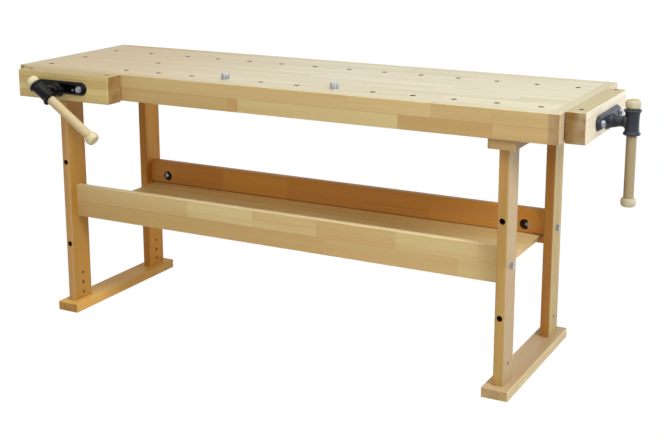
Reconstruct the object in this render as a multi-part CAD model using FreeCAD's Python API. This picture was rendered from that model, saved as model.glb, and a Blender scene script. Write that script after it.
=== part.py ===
"""Woodworking bench with a front vise and an end vise.

A laminated beech top with a deep rim stands on two trestles that are joined by two
stretchers with a tray shelf between them. A wooden jaw rides on guide rods and a screw
at the front left corner, and a second one at the right end. Two steel dogs stand in the
dog holes.

The bench is laid out with X = 0 at the middle of the top, Y = 0 at the front apron's
face, Y growing to the back, and Z = 0 at the floor. Every piece is moved at the end, so
that the origin is under the middle of the whole bench.
"""

import FreeCAD, Part

import math
import os

from FreeCAD import Placement, Rotation, Vector

os.makedirs("parts", exist_ok=True)

# ------------------------------------------------------------------ the bench top
top_length = 2000.0
top_depth = 620.0
top_height = 900.0
panel_thickness = 30.0
apron_height = 90.0
apron_thickness = 40.0
end_cap_thickness = 33.0
left_cap_setback = 20.0
tongue_thickness = 10.0
tongue_depth = 8.0
rim_rounding = 2.0
cap_dowel_diameter = 10.0
cap_dowel_inset = 30.0
cap_dowel_length = 50.0
cap_dowel_depth = 20.0
cap_dowel_spacing = 36.0
cap_dowel_lowest = 22.0

# dog holes, in two long rows and a short middle row
dog_hole_diameter = 19.2
dog_column_inset = 85.0
dog_pitch = 136.0
dog_columns = 12
front_hole_inset = 90.0
back_hole_inset = 158.0

# ------------------------------------------------------------------ the trestles
trestle_inset = 174.0
foot_width = 86.0
foot_thickness = 32.0
foot_inset = 8.0
foot_rounding = 3.0
leg_thickness = 32.0
leg_depth = 92.0
leg_inset = 28.0
leg_rounding = 4.0
tenon_thickness = 16.0
tenon_width = 64.0
tenon_length = 22.0
peg_hole_depth = 60.0
peg_hole_heights = (250.0, 555.0)

# ------------------------------------------------------------------ stretchers and shelf
stretcher_bottom = 350.0
stretcher_height = 116.0
stretcher_thickness = 27.0
stretcher_rounding = 3.0
joint_dowel_diameter = 10.0
joint_dowel_length = 40.0
joint_dowel_depth = 16.0
joint_dowel_spacing = 38.0
spare_joint_height = 93.0
stretcher_bolt_hole = 11.0
nut_pocket_diameter = 36.0
nut_pocket_depth = 23.0
saddle_depth = 17.0
nut_pocket_inset = 77.0
shelf_thickness = 12.0
shelf_end_gap = 20.0
shelf_side_gap = 0.3
cleat_size = 16.0
cleat_end_gap = 150.0

# ------------------------------------------------------------------ fasteners
bolt_diameter = 10.0
bolt_head_across = 17.0
bolt_head_height = 6.4
washer_diameter = 22.0
washer_thickness = 2.0
nut_height = 8.0
bolt_past_nut = 3.0
bearer_bolt_diameter = 8.0
bearer_bolt_head_across = 13.0
bearer_bolt_head_height = 5.3
bearer_washer_diameter = 18.0
bearer_bolt_hole = 9.0
bearer_bolt_inset = 24.0
bearer_recess_diameter = 21.0
bearer_recess_depth = 9.0
insert_diameter = 13.0
insert_length = 25.0
insert_depth = 12.0
screw_diameter = 5.0
screw_head_diameter = 10.0
screw_head_height = 3.0
cleat_screw_length = 34.0
cleat_screw_count = 4
bracket_screw_length = 29.0
flange_screw_length = 40.0
fit_gap = 0.05

# ------------------------------------------------------------------ both vises
jaw_rounding = 3.0
rod_drop = 48.0
screw_radius = 12.0
screw_drop = 7.0
screw_hole_radius = 14.0
spindle_length = 365.0
guide_rod_radius = 9.0
guide_rod_spacing = 202.0
guide_rod_length = 330.0
rod_jaw_gap = 0.2
rod_apron_gap = 1.0
running_gap = 0.08

flange_length = 248.0
flange_height = 45.0
flange_rim_thickness = 6.0
flange_rim_rounding = 2.0
flange_body_inset = 4.0
flange_thickness = 12.0
flange_rounding = 3.0
flange_boss_radius = 16.0
flange_boss_rise = 1.5
flange_boss_rounding = 0.8
flange_screw_spacing = 146.0
flange_screw_rise = 3.0
hub_base_radius = 28.0
hub_tip_radius = 21.0
hub_tip_length = 8.0
hub_height = 25.0
rib_width = 12.0
rib_reach = 56.0
rib_height = 21.0
bolt_hole_gap = 0.5
rod_bolt_depth = 30.0
rod_bolt_spare = 1.0
rod_chamfer = 1.5
spindle_chamfer = 2.0

thrust_collar_radius = 20.0
thrust_collar_thickness = 7.0
thrust_gap = 0.4
neck_radius = 16.5
neck_shoulder_radius = 20.0
neck_shoulder_length = 6.0
neck_shoulder_rounding = 1.5
neck_flare = 5.0
socket_wall = 6.0
head_pin_radius = 3.0
head_pin_place = 43.0
sleeve_reach = 76.0
sleeve_length = 79.0
sleeve_radius = 22.0
sleeve_waist_radius = 20.8
sleeve_collar_radius = 26.5
sleeve_collar_length = 9.0
sleeve_collar_rounding = 3.5
sleeve_bore_gap = 0.5

bar_radius = 15.5
handle_bar_length = 270.0
bar_tenon_radius = 10.0
bar_tenon_length = 20.0
knob_radius = 23.0
knob_end_radius = 16.0
knob_edge_radius = 21.4
knob_length = 28.0
knob_foot_height = 4.0
knob_shoulder_height = 5.0
knob_gap = 0.3

bracket_width = 262.0
bracket_depth = 72.0
bracket_plate = 7.0
bracket_corner = 10.0
bracket_web = 10.0
bracket_boss_length = 48.0
bracket_nut_radius = 22.0
bracket_rod_radius = 14.0
bracket_gusset = 8.0
bracket_screw_inset = 14.0

# ------------------------------------------------------------------ front vise
front_jaw_left = 72.0
front_jaw_length = 390.0
front_jaw_thickness = 68.0
front_jaw_height = 95.0
front_jaw_rise = 1.0
front_jaw_gap = 2.5
front_screw_from_end = 247.5
front_jaw_hole_inset = 28.0
front_handle_angle = 145.0

# ------------------------------------------------------------------ end vise
end_jaw_front_inset = 40.0
end_jaw_back_inset = 140.0
end_jaw_thickness = 61.0
end_jaw_height = 94.0
end_jaw_rise = 3.0
end_jaw_gap = 3.5
end_screw_from_front = 262.0
end_handle_angle = 90.0

# ------------------------------------------------------------------ bench dogs
dog_diameter = 19.0
dog_shank_length = 75.0
dog_head_diameter = 28.0
dog_head_height = 19.5
dog_flat_distance = 10.5
dog_rounding = 1.5
dog_chamfer = 1.5
left_dog_column = 3
right_dog_column = 6

# ------------------------------------------------------------------ worked out from these
half_length = top_length / 2
panel_bottom = top_height - panel_thickness
apron_bottom = top_height - apron_height
bearer_bottom = apron_bottom - foot_thickness
foot_length = top_depth - 2 * foot_inset
leg_front = foot_inset + leg_inset
leg_middle = leg_front + leg_depth / 2
half_trestle = half_length - trestle_inset
leg_inner_face = half_trestle - leg_thickness / 2
joint_height = stretcher_bottom + stretcher_height / 2
bearer_bolt_seat = bearer_bottom + bearer_recess_depth
jaw_face_front = front_jaw_gap + front_jaw_thickness
jaw_face_end = half_length + end_jaw_gap + end_jaw_thickness
front_screw_x = -half_length + front_screw_from_end
screw_height = top_height - rod_drop - screw_drop
end_jaw_length = top_depth - end_jaw_front_inset - end_jaw_back_inset
socket_end = sleeve_reach - bar_radius - sleeve_bore_gap - socket_wall
handle_stop = sleeve_length / 2 + knob_gap
bar_shift = handle_bar_length / 2 - handle_stop

# the box round the whole bench sets the origin
bench_left = -half_length
bench_right = jaw_face_end + sleeve_reach + sleeve_collar_radius
bench_front = -jaw_face_front - sleeve_reach - sleeve_collar_radius
origin = Vector((bench_left + bench_right) / 2, (bench_front + top_depth) / 2, 0)

X, Y, Z = Vector(1, 0, 0), Vector(0, 1, 0), Vector(0, 0, 1)


# ------------------------------------------------------------------ helpers
def box(x0, x1, y0, y1, z0, z1):
    return Part.makeBox(x1 - x0, y1 - y0, z1 - z0, Vector(x0, y0, z0))


def cylinder(radius, start, end):
    along = end - start
    return Part.makeCylinder(radius, along.Length, start, along)


def round_edges(shape, radius, wanted):
    """Rounds the edges whose middle point and direction pass the test."""
    chosen = []
    for edge in shape.Edges:
        first, last = edge.Vertexes[0].Point, edge.Vertexes[-1].Point
        if wanted((first + last) / 2, last - first):
            chosen.append(edge)
    return shape.makeFillet(radius, chosen)


def hex_prism(across, height, base, along):
    """A hexagonal head or nut that stands on base and rises along one direction."""
    corner = across / math.sqrt(3)
    points = []
    for i in range(7):
        angle = math.radians(60 * i)
        points.append(Vector(corner * math.cos(angle), corner * math.sin(angle), 0))
    prism = Part.Face(Part.makePolygon(points)).extrude(Vector(0, 0, height))
    prism.Placement = Placement(base, Rotation(Z, along))
    return prism


def ring(outer, inner, height, base, along):
    """A washer, collar or insert round a shank."""
    end = base + along * height
    return cylinder(outer, base, end).cut(cylinder(inner, base, end))


def hex_bolt(radius, length, across, head, seat, along):
    """A bolt whose head stands on seat; along points the way the head leaves."""
    shank = cylinder(radius, seat - along * length, seat)
    return shank.fuse(hex_prism(across, head, seat, along)).removeSplitter()


def wood_screw(length, top, along):
    """A countersunk wood screw; top is the middle of its flat head."""
    under = top - along * screw_head_height
    tip = top - along * length
    neck = under - along * (length - screw_head_height) * 0.8
    head = Part.makeCone(
        screw_diameter / 2, screw_head_diameter / 2, screw_head_height, under, along
    )
    point = Part.makeCone(
        screw_diameter / 2, screw_diameter / 8, (tip - neck).Length, neck, -along
    )
    return head.fuse([cylinder(screw_diameter / 2, neck, under), point]).removeSplitter()


def screw_hole(length, top, along):
    """The hole that wood_screw fits, a little wider than the screw."""
    under = top - along * screw_head_height
    head = Part.makeCone(
        screw_diameter / 2 + fit_gap,
        screw_head_diameter / 2 + fit_gap,
        screw_head_height,
        under,
        along,
    )
    tip = top - along * (length + fit_gap)
    return head.fuse(cylinder(screw_diameter / 2 + fit_gap, tip, under))


def stadium(length, height, x0, x1, middle_z):
    """A plate with round ends, lying in the YZ plane between x0 and x1."""
    radius = height / 2
    half = length / 2 - radius
    body = box(x0, x1, -half, half, middle_z - radius, middle_z + radius)
    for side in (-1, 1):
        centre = Vector(x0, side * half, middle_z)
        body = body.fuse(Part.makeCylinder(radius, x1 - x0, centre, X))
    return body.removeSplitter()


def save(name, shape):
    """Moves a piece, or a group of alike pieces, to the bench's origin and writes it."""
    placed = shape.copy()
    placed.translate(-origin)
    for solid in placed.Solids:
        if not solid.isValid() or solid.Volume <= 0:
            raise ValueError(f"{name} holds a bad solid")
    placed.exportStep(f"parts/{name}.step")
    box_of = placed.BoundBox
    print(f"{name}: {len(placed.Solids)} solid(s), {placed.Volume / 1000:.1f} cm3,"
          f" z {box_of.ZMin:.1f} to {box_of.ZMax:.1f}")


# ------------------------------------------------------------------ where dog holes are
def column_x(index):
    """The long rows' columns, counted from the left."""
    last = half_length - dog_column_inset
    return last - (dog_columns - 1 - index) * dog_pitch


front_row = front_hole_inset
back_row = top_depth - back_hole_inset
middle_row = (front_row + back_row) / 2
left_column = -half_length + dog_column_inset


def dog_hole_places():
    places = [(left_column, y) for y in (front_row, middle_row, back_row)]
    places.append(((left_column + column_x(0)) / 2, back_row))
    places.append((column_x(0), middle_row))
    for index in range(dog_columns):
        places += [(column_x(index), front_row), (column_x(index), back_row)]
    return places


def dog_bore(x, y, z0, z1):
    return cylinder(dog_hole_diameter / 2, Vector(x, y, z0), Vector(x, y, z1))


# ------------------------------------------------------------------ vise frames
class Vise:
    """One vise's place: its own X points out of the jaw, Y along it and Z up.

    Its own origin lies on the screw's axis, in the plane of the jaw's outer face.
    """

    def __init__(self, prefix, base, turn, handle_angle, rim, rim_gap, jaw_thickness):
        self.prefix = prefix
        self.placement = Placement(base, Rotation(Z, turn))
        self.handle = Vector(
            0,
            math.cos(math.radians(handle_angle)),
            math.sin(math.radians(handle_angle)),
        )
        self.jaw_back = -jaw_thickness
        self.rim_inside = -jaw_thickness - rim_gap - rim
        self.panel_height = panel_bottom - base.z

    def put(self, shape):
        """Turns and moves a shape from the vise's own frame to the bench."""
        moved = shape.copy()
        moved.Placement = self.placement.multiply(moved.Placement)
        return moved

    def save(self, name, shape):
        save(f"{self.prefix}_{name}", self.put(shape))


front_vise = Vise(
    "front",
    Vector(front_screw_x, -jaw_face_front, screw_height),
    -90,
    front_handle_angle,
    apron_thickness,
    front_jaw_gap,
    front_jaw_thickness,
)
end_vise = Vise(
    "end",
    Vector(jaw_face_end, end_screw_from_front, screw_height),
    0,
    end_handle_angle,
    end_cap_thickness,
    end_jaw_gap,
    end_jaw_thickness,
)


def rod_sides():
    return (-guide_rod_spacing / 2, guide_rod_spacing / 2)


def vise_bores(rod_radius, hole_radius, x0, x1):
    """The holes for one screw and its two guide rods, between x0 and x1."""
    bores = cylinder(hole_radius, Vector(x0, 0, 0), Vector(x1, 0, 0))
    for y in rod_sides():
        start, end = Vector(x0, y, screw_drop), Vector(x1, y, screw_drop)
        bores = bores.fuse(cylinder(rod_radius, start, end))
    return bores


def rim_bores(vise):
    bores = vise_bores(
        guide_rod_radius + rod_apron_gap, screw_hole_radius, vise.rim_inside - 1, vise.jaw_back
    )
    return vise.put(bores)


# ------------------------------------------------------------------ the top
def panel_blank(growth):
    """The panel between the aprons and caps, grown on every side."""
    return box(
        -half_length + end_cap_thickness - growth,
        half_length - end_cap_thickness + growth,
        apron_thickness - growth,
        top_depth - apron_thickness + growth,
        panel_bottom,
        top_height,
    )


def tongue():
    middle = top_height - panel_thickness / 2
    blank = panel_blank(tongue_depth).BoundBox
    return box(
        blank.XMin,
        blank.XMax,
        blank.YMin,
        blank.YMax,
        middle - tongue_thickness / 2,
        middle + tongue_thickness / 2,
    )


def bracket_screw_places(vise):
    """Where a bracket's four screws enter the panel, in the vise's own frame."""
    places = []
    for x in (bracket_screw_inset, bracket_depth - bracket_screw_inset):
        for side in (-1, 1):
            y = side * (bracket_width / 2 - bracket_screw_inset)
            places.append(Vector(vise.rim_inside - x, y, vise.panel_height - bracket_plate))
    return places


def bracket_screw_holes(vise):
    holes = [screw_hole(bracket_screw_length, top, -Z) for top in bracket_screw_places(vise)]
    return vise.put(holes[0].fuse(holes[1:]))


def top_panel():
    panel = panel_blank(0).fuse(tongue()).removeSplitter()
    bores = [dog_bore(x, y, panel_bottom, top_height) for x, y in dog_hole_places()]
    bores += [bracket_screw_holes(vise) for vise in (front_vise, end_vise)]
    return panel.cut(bores)


def bearer_bolt_places():
    places = []
    for x in (-half_trestle, half_trestle):
        for y in (bearer_bolt_inset, top_depth - bearer_bolt_inset):
            places.append(Vector(x, y, apron_bottom))
    return places


def insert_holes():
    holes = []
    for seat in bearer_bolt_places():
        low = seat + Z * insert_depth
        holes.append(cylinder(bearer_bolt_hole / 2, seat, low))
        holes.append(cylinder(insert_diameter / 2 + fit_gap, low, low + Z * insert_length))
    return holes


def cap_dowels(gap):
    """Dowels that pin the end caps to the ends of the aprons."""
    dowels = []
    reach = half_length - end_cap_thickness
    for side in (-1, 1):
        for y in (cap_dowel_inset, top_depth - cap_dowel_inset):
            for row in range(2):
                z = apron_bottom + cap_dowel_lowest + row * cap_dowel_spacing
                outer = Vector(side * (reach + cap_dowel_depth + gap), y, z)
                inner = Vector(side * (reach + cap_dowel_depth - cap_dowel_length - gap), y, z)
                dowels.append(cylinder(cap_dowel_diameter / 2 + gap, inner, outer))
    return dowels


def apron(y0, outer_y):
    """An apron between the end caps, grooved for the panel's tongue."""
    reach = half_length - end_cap_thickness
    rail = box(-reach, reach, y0, y0 + apron_thickness, apron_bottom, top_height)
    rail = round_edges(
        rail,
        rim_rounding,
        lambda mid, way: abs(mid.y - outer_y) < 0.01 and abs(way.x) > reach,
    )
    return rail.cut([tongue()] + cap_dowels(fit_gap) + insert_holes())


def end_cap(side):
    inner, outer = side * (half_length - end_cap_thickness), side * half_length
    front = left_cap_setback if side < 0 else 0
    cap = box(min(inner, outer), max(inner, outer), front, top_depth, apron_bottom, top_height)
    cap = round_edges(cap, rim_rounding, lambda mid, way: abs(mid.x - inner) > 0.01)
    return cap.cut([tongue()] + cap_dowels(fit_gap))


def save_top():
    save("top_panel", top_panel())
    save("front_apron", apron(0, 0).cut(rim_bores(front_vise)))
    save("rear_apron", apron(top_depth - apron_thickness, top_depth))
    save("left_end_cap", end_cap(-1))
    save("right_end_cap", end_cap(1).cut(rim_bores(end_vise)))
    save("end_cap_dowels", Part.makeCompound(cap_dowels(0)))


# ------------------------------------------------------------------ the trestles
def leg_y(row):
    """The middle of the front or rear leg."""
    return leg_middle if row == "front" else top_depth - leg_middle


def tenon(x, y, z0, z1):
    return box(
        x - tenon_thickness / 2,
        x + tenon_thickness / 2,
        y - tenon_width / 2,
        y + tenon_width / 2,
        z0,
        z1,
    )


def foot(x):
    half = foot_width / 2
    board = box(x - half, x + half, foot_inset, foot_inset + foot_length, 0, foot_thickness)
    board = round_edges(board, foot_rounding, lambda mid, way: mid.z > 0.01)
    mortises = [
        tenon(x, leg_y(row), foot_thickness - tenon_length, foot_thickness)
        for row in ("front", "rear")
    ]
    return board.cut(mortises)


def bearer(x):
    half = foot_width / 2
    board = box(
        x - half, x + half, foot_inset, foot_inset + foot_length, bearer_bottom, apron_bottom
    )
    board = round_edges(board, foot_rounding, lambda mid, way: mid.z < apron_bottom - 0.01)
    cuts = [
        tenon(x, leg_y(row), bearer_bottom, bearer_bottom + tenon_length)
        for row in ("front", "rear")
    ]
    for seat in bearer_bolt_places():
        low = Vector(seat.x, seat.y, bearer_bottom)
        recess = low + Z * bearer_recess_depth
        cuts.append(cylinder(bearer_bolt_hole / 2, low, seat))
        cuts.append(cylinder(bearer_recess_diameter / 2, low, recess))
    return board.cut(cuts)


def leg(side, row):
    x, y = side * half_trestle, leg_y(row)
    half_x, half_y = leg_thickness / 2, leg_depth / 2
    post = box(x - half_x, x + half_x, y - half_y, y + half_y, foot_thickness, bearer_bottom)
    post = round_edges(post, leg_rounding, lambda mid, way: abs(way.z) > leg_depth)
    low = tenon(x, y, foot_thickness - tenon_length, foot_thickness)
    high = tenon(x, y, bearer_bottom, bearer_bottom + tenon_length)
    post = post.fuse([low, high]).removeSplitter()
    outer, inner = x + side * half_x, x - side * half_x
    cuts = []
    for z in (joint_height, spare_joint_height):
        cuts.append(
            cylinder(stretcher_bolt_hole / 2, Vector(inner, y, z), Vector(outer, y, z))
        )
        for step in (-joint_dowel_spacing, joint_dowel_spacing):
            start = Vector(inner, y, z + step)
            end = start + X * (side * (joint_dowel_depth + fit_gap))
            cuts.append(cylinder(joint_dowel_diameter / 2 + fit_gap, start, end))
    if row == "front":
        for z in peg_hole_heights:
            mouth = Vector(x, y - half_y, z)
            cuts.append(cylinder(dog_hole_diameter / 2, mouth, mouth + Y * peg_hole_depth))
    return post.cut(cuts)


def save_trestles():
    for side, name in ((-1, "left"), (1, "right")):
        save(f"{name}_foot", foot(side * half_trestle))
        save(f"{name}_bearer", bearer(side * half_trestle))
        for row in ("front", "rear"):
            save(f"{row}_{name}_leg", leg(side, row))
    bolts, washers, inserts = [], [], []
    for seat in bearer_bolt_places():
        under = Vector(seat.x, seat.y, bearer_bolt_seat)
        washers.append(
            ring(bearer_washer_diameter / 2, bearer_bolt_hole / 2, washer_thickness, under, -Z)
        )
        length = seat.z - under.z + washer_thickness + insert_depth + insert_length - fit_gap
        bolts.append(
            hex_bolt(
                bearer_bolt_diameter / 2,
                length,
                bearer_bolt_head_across,
                bearer_bolt_head_height,
                under - Z * washer_thickness,
                -Z,
            )
        )
        low = seat + Z * insert_depth
        inserts.append(
            ring(
                insert_diameter / 2,
                bearer_bolt_diameter / 2 + fit_gap,
                insert_length - fit_gap,
                low,
                Z,
            )
        )
    save("bearer_bolts", Part.makeCompound(bolts))
    save("bearer_washers", Part.makeCompound(washers))
    save("bearer_inserts", Part.makeCompound(inserts))


# ------------------------------------------------------------------ stretchers and shelf
def stretcher_y(row):
    """The stretcher's front and back faces."""
    middle = leg_y(row)
    return middle - stretcher_thickness / 2, middle + stretcher_thickness / 2


def inward(row):
    return 1 if row == "front" else -1


def pocket_x(side):
    return side * (leg_inner_face - nut_pocket_inset)


def inner_face(row):
    """The face of a stretcher that looks into the bench."""
    return stretcher_y(row)[1] if row == "front" else stretcher_y(row)[0]


def nut_pocket(side, row, radius):
    mouth = Vector(pocket_x(side), inner_face(row), joint_height)
    return cylinder(radius, mouth, mouth - Y * (inward(row) * nut_pocket_depth))


def joint_dowel(side, row, step, gap):
    z = joint_height + step
    outer = Vector(side * (leg_inner_face + joint_dowel_depth + gap), leg_y(row), z)
    inner = outer - X * (side * (joint_dowel_length + 2 * gap))
    return cylinder(joint_dowel_diameter / 2 + gap, outer, inner)


def cleat_screw_places(row):
    """Where the cleat's screws start: the middle of each head."""
    reach = leg_inner_face - cleat_end_gap
    step = 2 * reach / cleat_screw_count
    z = stretcher_bottom + cleat_size / 2
    y = inner_face(row) + inward(row) * cleat_size
    return [Vector(-reach + step * (i + 0.5), y, z) for i in range(cleat_screw_count)]


def cleat_screws(row):
    way = Y * inward(row)
    return [wood_screw(cleat_screw_length, top, way) for top in cleat_screw_places(row)]


def cleat_screw_holes(row):
    way = Y * inward(row)
    return [screw_hole(cleat_screw_length, top, way) for top in cleat_screw_places(row)]


def stretcher(row):
    y0, y1 = stretcher_y(row)
    rail = box(
        -leg_inner_face,
        leg_inner_face,
        y0,
        y1,
        stretcher_bottom,
        stretcher_bottom + stretcher_height,
    )
    rail = round_edges(rail, stretcher_rounding, lambda mid, way: abs(way.x) > stretcher_height)
    cuts = cleat_screw_holes(row)
    for side in (-1, 1):
        cuts.append(nut_pocket(side, row, nut_pocket_diameter / 2))
        end = Vector(side * leg_inner_face, leg_y(row), joint_height)
        start = Vector(pocket_x(side), leg_y(row), joint_height)
        cuts.append(cylinder(stretcher_bolt_hole / 2, start, end))
        for step in (-joint_dowel_spacing, joint_dowel_spacing):
            cuts.append(joint_dowel(side, row, step, fit_gap))
    return rail.cut(cuts)


def cleat(row):
    reach = leg_inner_face - cleat_end_gap
    y0 = inner_face(row)
    y1 = y0 + inward(row) * cleat_size
    strip = box(
        -reach, reach, min(y0, y1), max(y0, y1), stretcher_bottom, stretcher_bottom + cleat_size
    )
    return strip.cut(cleat_screw_holes(row))


def shelf():
    reach = leg_inner_face - shelf_end_gap
    return box(
        -reach,
        reach,
        inner_face("front") + shelf_side_gap,
        inner_face("rear") - shelf_side_gap,
        stretcher_bottom + cleat_size,
        stretcher_bottom + cleat_size + shelf_thickness,
    )


def saddle(side, row):
    """A half-moon block that gives the nut a flat seat in the round pocket."""
    flat = pocket_x(side) + side * nut_pocket_diameter / 4
    reach = pocket_x(side) + side * nut_pocket_diameter
    half = nut_pocket_diameter / 2
    floor = Vector(
        pocket_x(side), inner_face(row) - inward(row) * nut_pocket_depth, joint_height
    )
    disc = cylinder(half - fit_gap, floor, floor + Y * (inward(row) * saddle_depth))
    keep = box(
        min(flat, reach),
        max(flat, reach),
        floor.y - nut_pocket_depth,
        floor.y + nut_pocket_depth,
        joint_height - half,
        joint_height + half,
    )
    bolt_line = Vector(flat, leg_y(row), joint_height)
    hole = cylinder(stretcher_bolt_hole / 2, bolt_line, bolt_line + X * (reach - flat))
    return disc.common(keep).cut(hole)


def save_stretchers():
    bolts, washers, nuts, dowels, saddles = [], [], [], [], []
    for row in ("front", "rear"):
        save(f"{row}_stretcher", stretcher(row))
        save(f"{row}_shelf_cleat", cleat(row))
        for side in (-1, 1):
            out = X * side
            face = Vector(side * (half_trestle + leg_thickness / 2), leg_y(row), joint_height)
            seat = face + out * washer_thickness
            nut_seat = Vector(
                pocket_x(side) + side * nut_pocket_diameter / 4, leg_y(row), joint_height
            )
            length = (seat - nut_seat).Length + nut_height + bolt_past_nut
            bolts.append(
                hex_bolt(
                    bolt_diameter / 2, length, bolt_head_across, bolt_head_height, seat, out
                )
            )
            washers.append(
                ring(
                    washer_diameter / 2,
                    bolt_diameter / 2 + bolt_hole_gap,
                    washer_thickness,
                    face,
                    out,
                )
            )
            nut = hex_prism(bolt_head_across, nut_height, nut_seat, -out)
            nut_bore = cylinder(
                bolt_diameter / 2 + fit_gap, nut_seat, nut_seat - out * nut_height
            )
            nuts.append(nut.cut(nut_bore))
            saddles.append(saddle(side, row))
            for step in (-joint_dowel_spacing, joint_dowel_spacing):
                dowels.append(joint_dowel(side, row, step, 0))
    save("shelf_board", shelf())
    save("cleat_screws", Part.makeCompound(cleat_screws("front") + cleat_screws("rear")))
    save("stretcher_bolts", Part.makeCompound(bolts))
    save("stretcher_washers", Part.makeCompound(washers))
    save("stretcher_nuts", Part.makeCompound(nuts))
    save("stretcher_saddles", Part.makeCompound(saddles))
    save("stretcher_dowels", Part.makeCompound(dowels))


# ------------------------------------------------------------------ vise castings
def flange():
    """The cast face plate: a rimmed plate, a boss for each bolt, a hub and two ribs."""
    rim = stadium(flange_length, flange_height, 0, flange_rim_thickness, screw_drop)
    rim = round_edges(
        rim, flange_rim_rounding, lambda mid, way: mid.x > flange_rim_thickness - 0.01
    )
    body = stadium(
        flange_length - 2 * flange_body_inset,
        flange_height - 2 * flange_body_inset,
        0,
        flange_thickness,
        screw_drop,
    )
    body = round_edges(body, flange_rounding, lambda mid, way: mid.x > flange_thickness - 0.01)
    plate = rim.fuse([body, hub(), ribs()] + flange_bosses()).removeSplitter()
    reach = Vector(hub_height, 0, 0)
    cuts = [cylinder(screw_radius + running_gap, Vector(0, 0, 0), reach)]
    for y in rod_sides():
        start = Vector(0, y, screw_drop)
        end = start + X * bolt_seat()
        cuts.append(cylinder(bolt_diameter / 2 + bolt_hole_gap, start, end))
    for place in flange_screw_places():
        cuts.append(screw_hole(flange_screw_length, place, X))
    return plate.cut(cuts)


def bolt_seat():
    """How far the bosses' flat tops stand out from the jaw."""
    return flange_thickness + flange_boss_rise


def flange_bosses():
    bosses = []
    for y in rod_sides():
        start = Vector(0, y, screw_drop)
        boss = cylinder(flange_boss_radius, start, start + X * bolt_seat())
        top = [e for e in boss.Edges if e.BoundBox.XMin > flange_thickness]
        bosses.append(boss.makeFillet(flange_boss_rounding, top))
    return bosses


def hub():
    """A hub that flares in a hollow curve from its round tip down to the plate."""
    tip_start = hub_height - hub_tip_length
    middle = Vector(
        hub_tip_radius + (hub_base_radius - hub_tip_radius) / 4,
        0,
        (flange_rim_thickness + tip_start) / 2,
    )
    points = [
        Vector(0, 0, 0),
        Vector(hub_base_radius, 0, 0),
        Vector(hub_base_radius, 0, flange_rim_thickness),
        Vector(hub_tip_radius, 0, tip_start),
        Vector(hub_tip_radius, 0, hub_height),
        Vector(0, 0, hub_height),
    ]
    edges = [
        Part.makeLine(points[0], points[1]),
        Part.makeLine(points[1], points[2]),
        Part.Arc(points[2], middle, points[3]).toShape(),
        Part.makeLine(points[3], points[4]),
        Part.makeLine(points[4], points[5]),
        Part.makeLine(points[5], points[0]),
    ]
    body = Part.Face(Part.Wire(edges)).revolve(Vector(0, 0, 0), Z, 360)
    body.Placement = Placement(Vector(0, 0, 0), Rotation(Z, X))
    return body


def ribs():
    """A rib on each side that slopes from the hub down to the plate."""
    half = rib_width / 2
    points = [
        Vector(0, -rib_reach, -half),
        Vector(flange_thickness, -rib_reach, -half),
        Vector(rib_height, -hub_tip_radius, -half),
        Vector(rib_height, hub_tip_radius, -half),
        Vector(flange_thickness, rib_reach, -half),
        Vector(0, rib_reach, -half),
        Vector(0, -rib_reach, -half),
    ]
    web = Part.Face(Part.makePolygon(points)).extrude(Z * rib_width)
    web.translate(Z * screw_drop / 2)
    return web


def flange_screw_places():
    half = flange_screw_spacing / 2
    return [Vector(flange_thickness, y, flange_screw_rise) for y in (-half, half)]


def flange_screws():
    return Part.makeCompound(
        [wood_screw(flange_screw_length, place, X) for place in flange_screw_places()]
    )


def guide_rods():
    """Plain steel rods, tapped in front for the bolts that hold them to the flange."""
    rods = []
    for y in rod_sides():
        front, back = Vector(0, y, screw_drop), Vector(-guide_rod_length, y, screw_drop)
        rod = cylinder(guide_rod_radius, back, front)
        tips = [e for e in rod.Edges if e.BoundBox.XMax < back.x + rod_chamfer]
        rod = rod.makeChamfer(rod_chamfer, tips)
        depth = front - X * rod_bolt_depth
        rods.append(rod.cut(cylinder(bolt_diameter / 2 + fit_gap, depth, front)))
    return Part.makeCompound(rods)


def flange_bolts():
    bolts = []
    for y in rod_sides():
        face = Vector(bolt_seat(), y, screw_drop)
        washer = ring(washer_diameter / 2, bolt_diameter / 2, washer_thickness, face, X)
        bolt = hex_bolt(
            bolt_diameter / 2,
            bolt_seat() + washer_thickness + rod_bolt_depth - rod_bolt_spare,
            bolt_head_across,
            bolt_head_height,
            face + X * washer_thickness,
            X,
        )
        bolts.append(bolt.fuse(washer).removeSplitter())
    return Part.makeCompound(bolts)


def spindle():
    front, back = Vector(socket_end - fit_gap, 0, 0), Vector(socket_end - spindle_length, 0, 0)
    shaft = cylinder(screw_radius, back, front)
    tip = [e for e in shaft.Edges if e.BoundBox.XMax < back.x + spindle_chamfer]
    shaft = shaft.makeChamfer(spindle_chamfer, tip)
    return shaft.cut(head_pin(fit_gap))


def head_pin(gap):
    place = Vector(head_pin_place, 0, 0)
    reach = Z * (neck_radius + gap)
    return cylinder(head_pin_radius + gap, place - reach, place + reach)


def thrust_collar():
    """A steel ring that is pinned on the screw behind the flange and draws the jaw out."""
    back = Vector(-thrust_gap - thrust_collar_thickness, 0, 0)
    return ring(thrust_collar_radius, screw_radius + fit_gap, thrust_collar_thickness, back, X)


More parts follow.
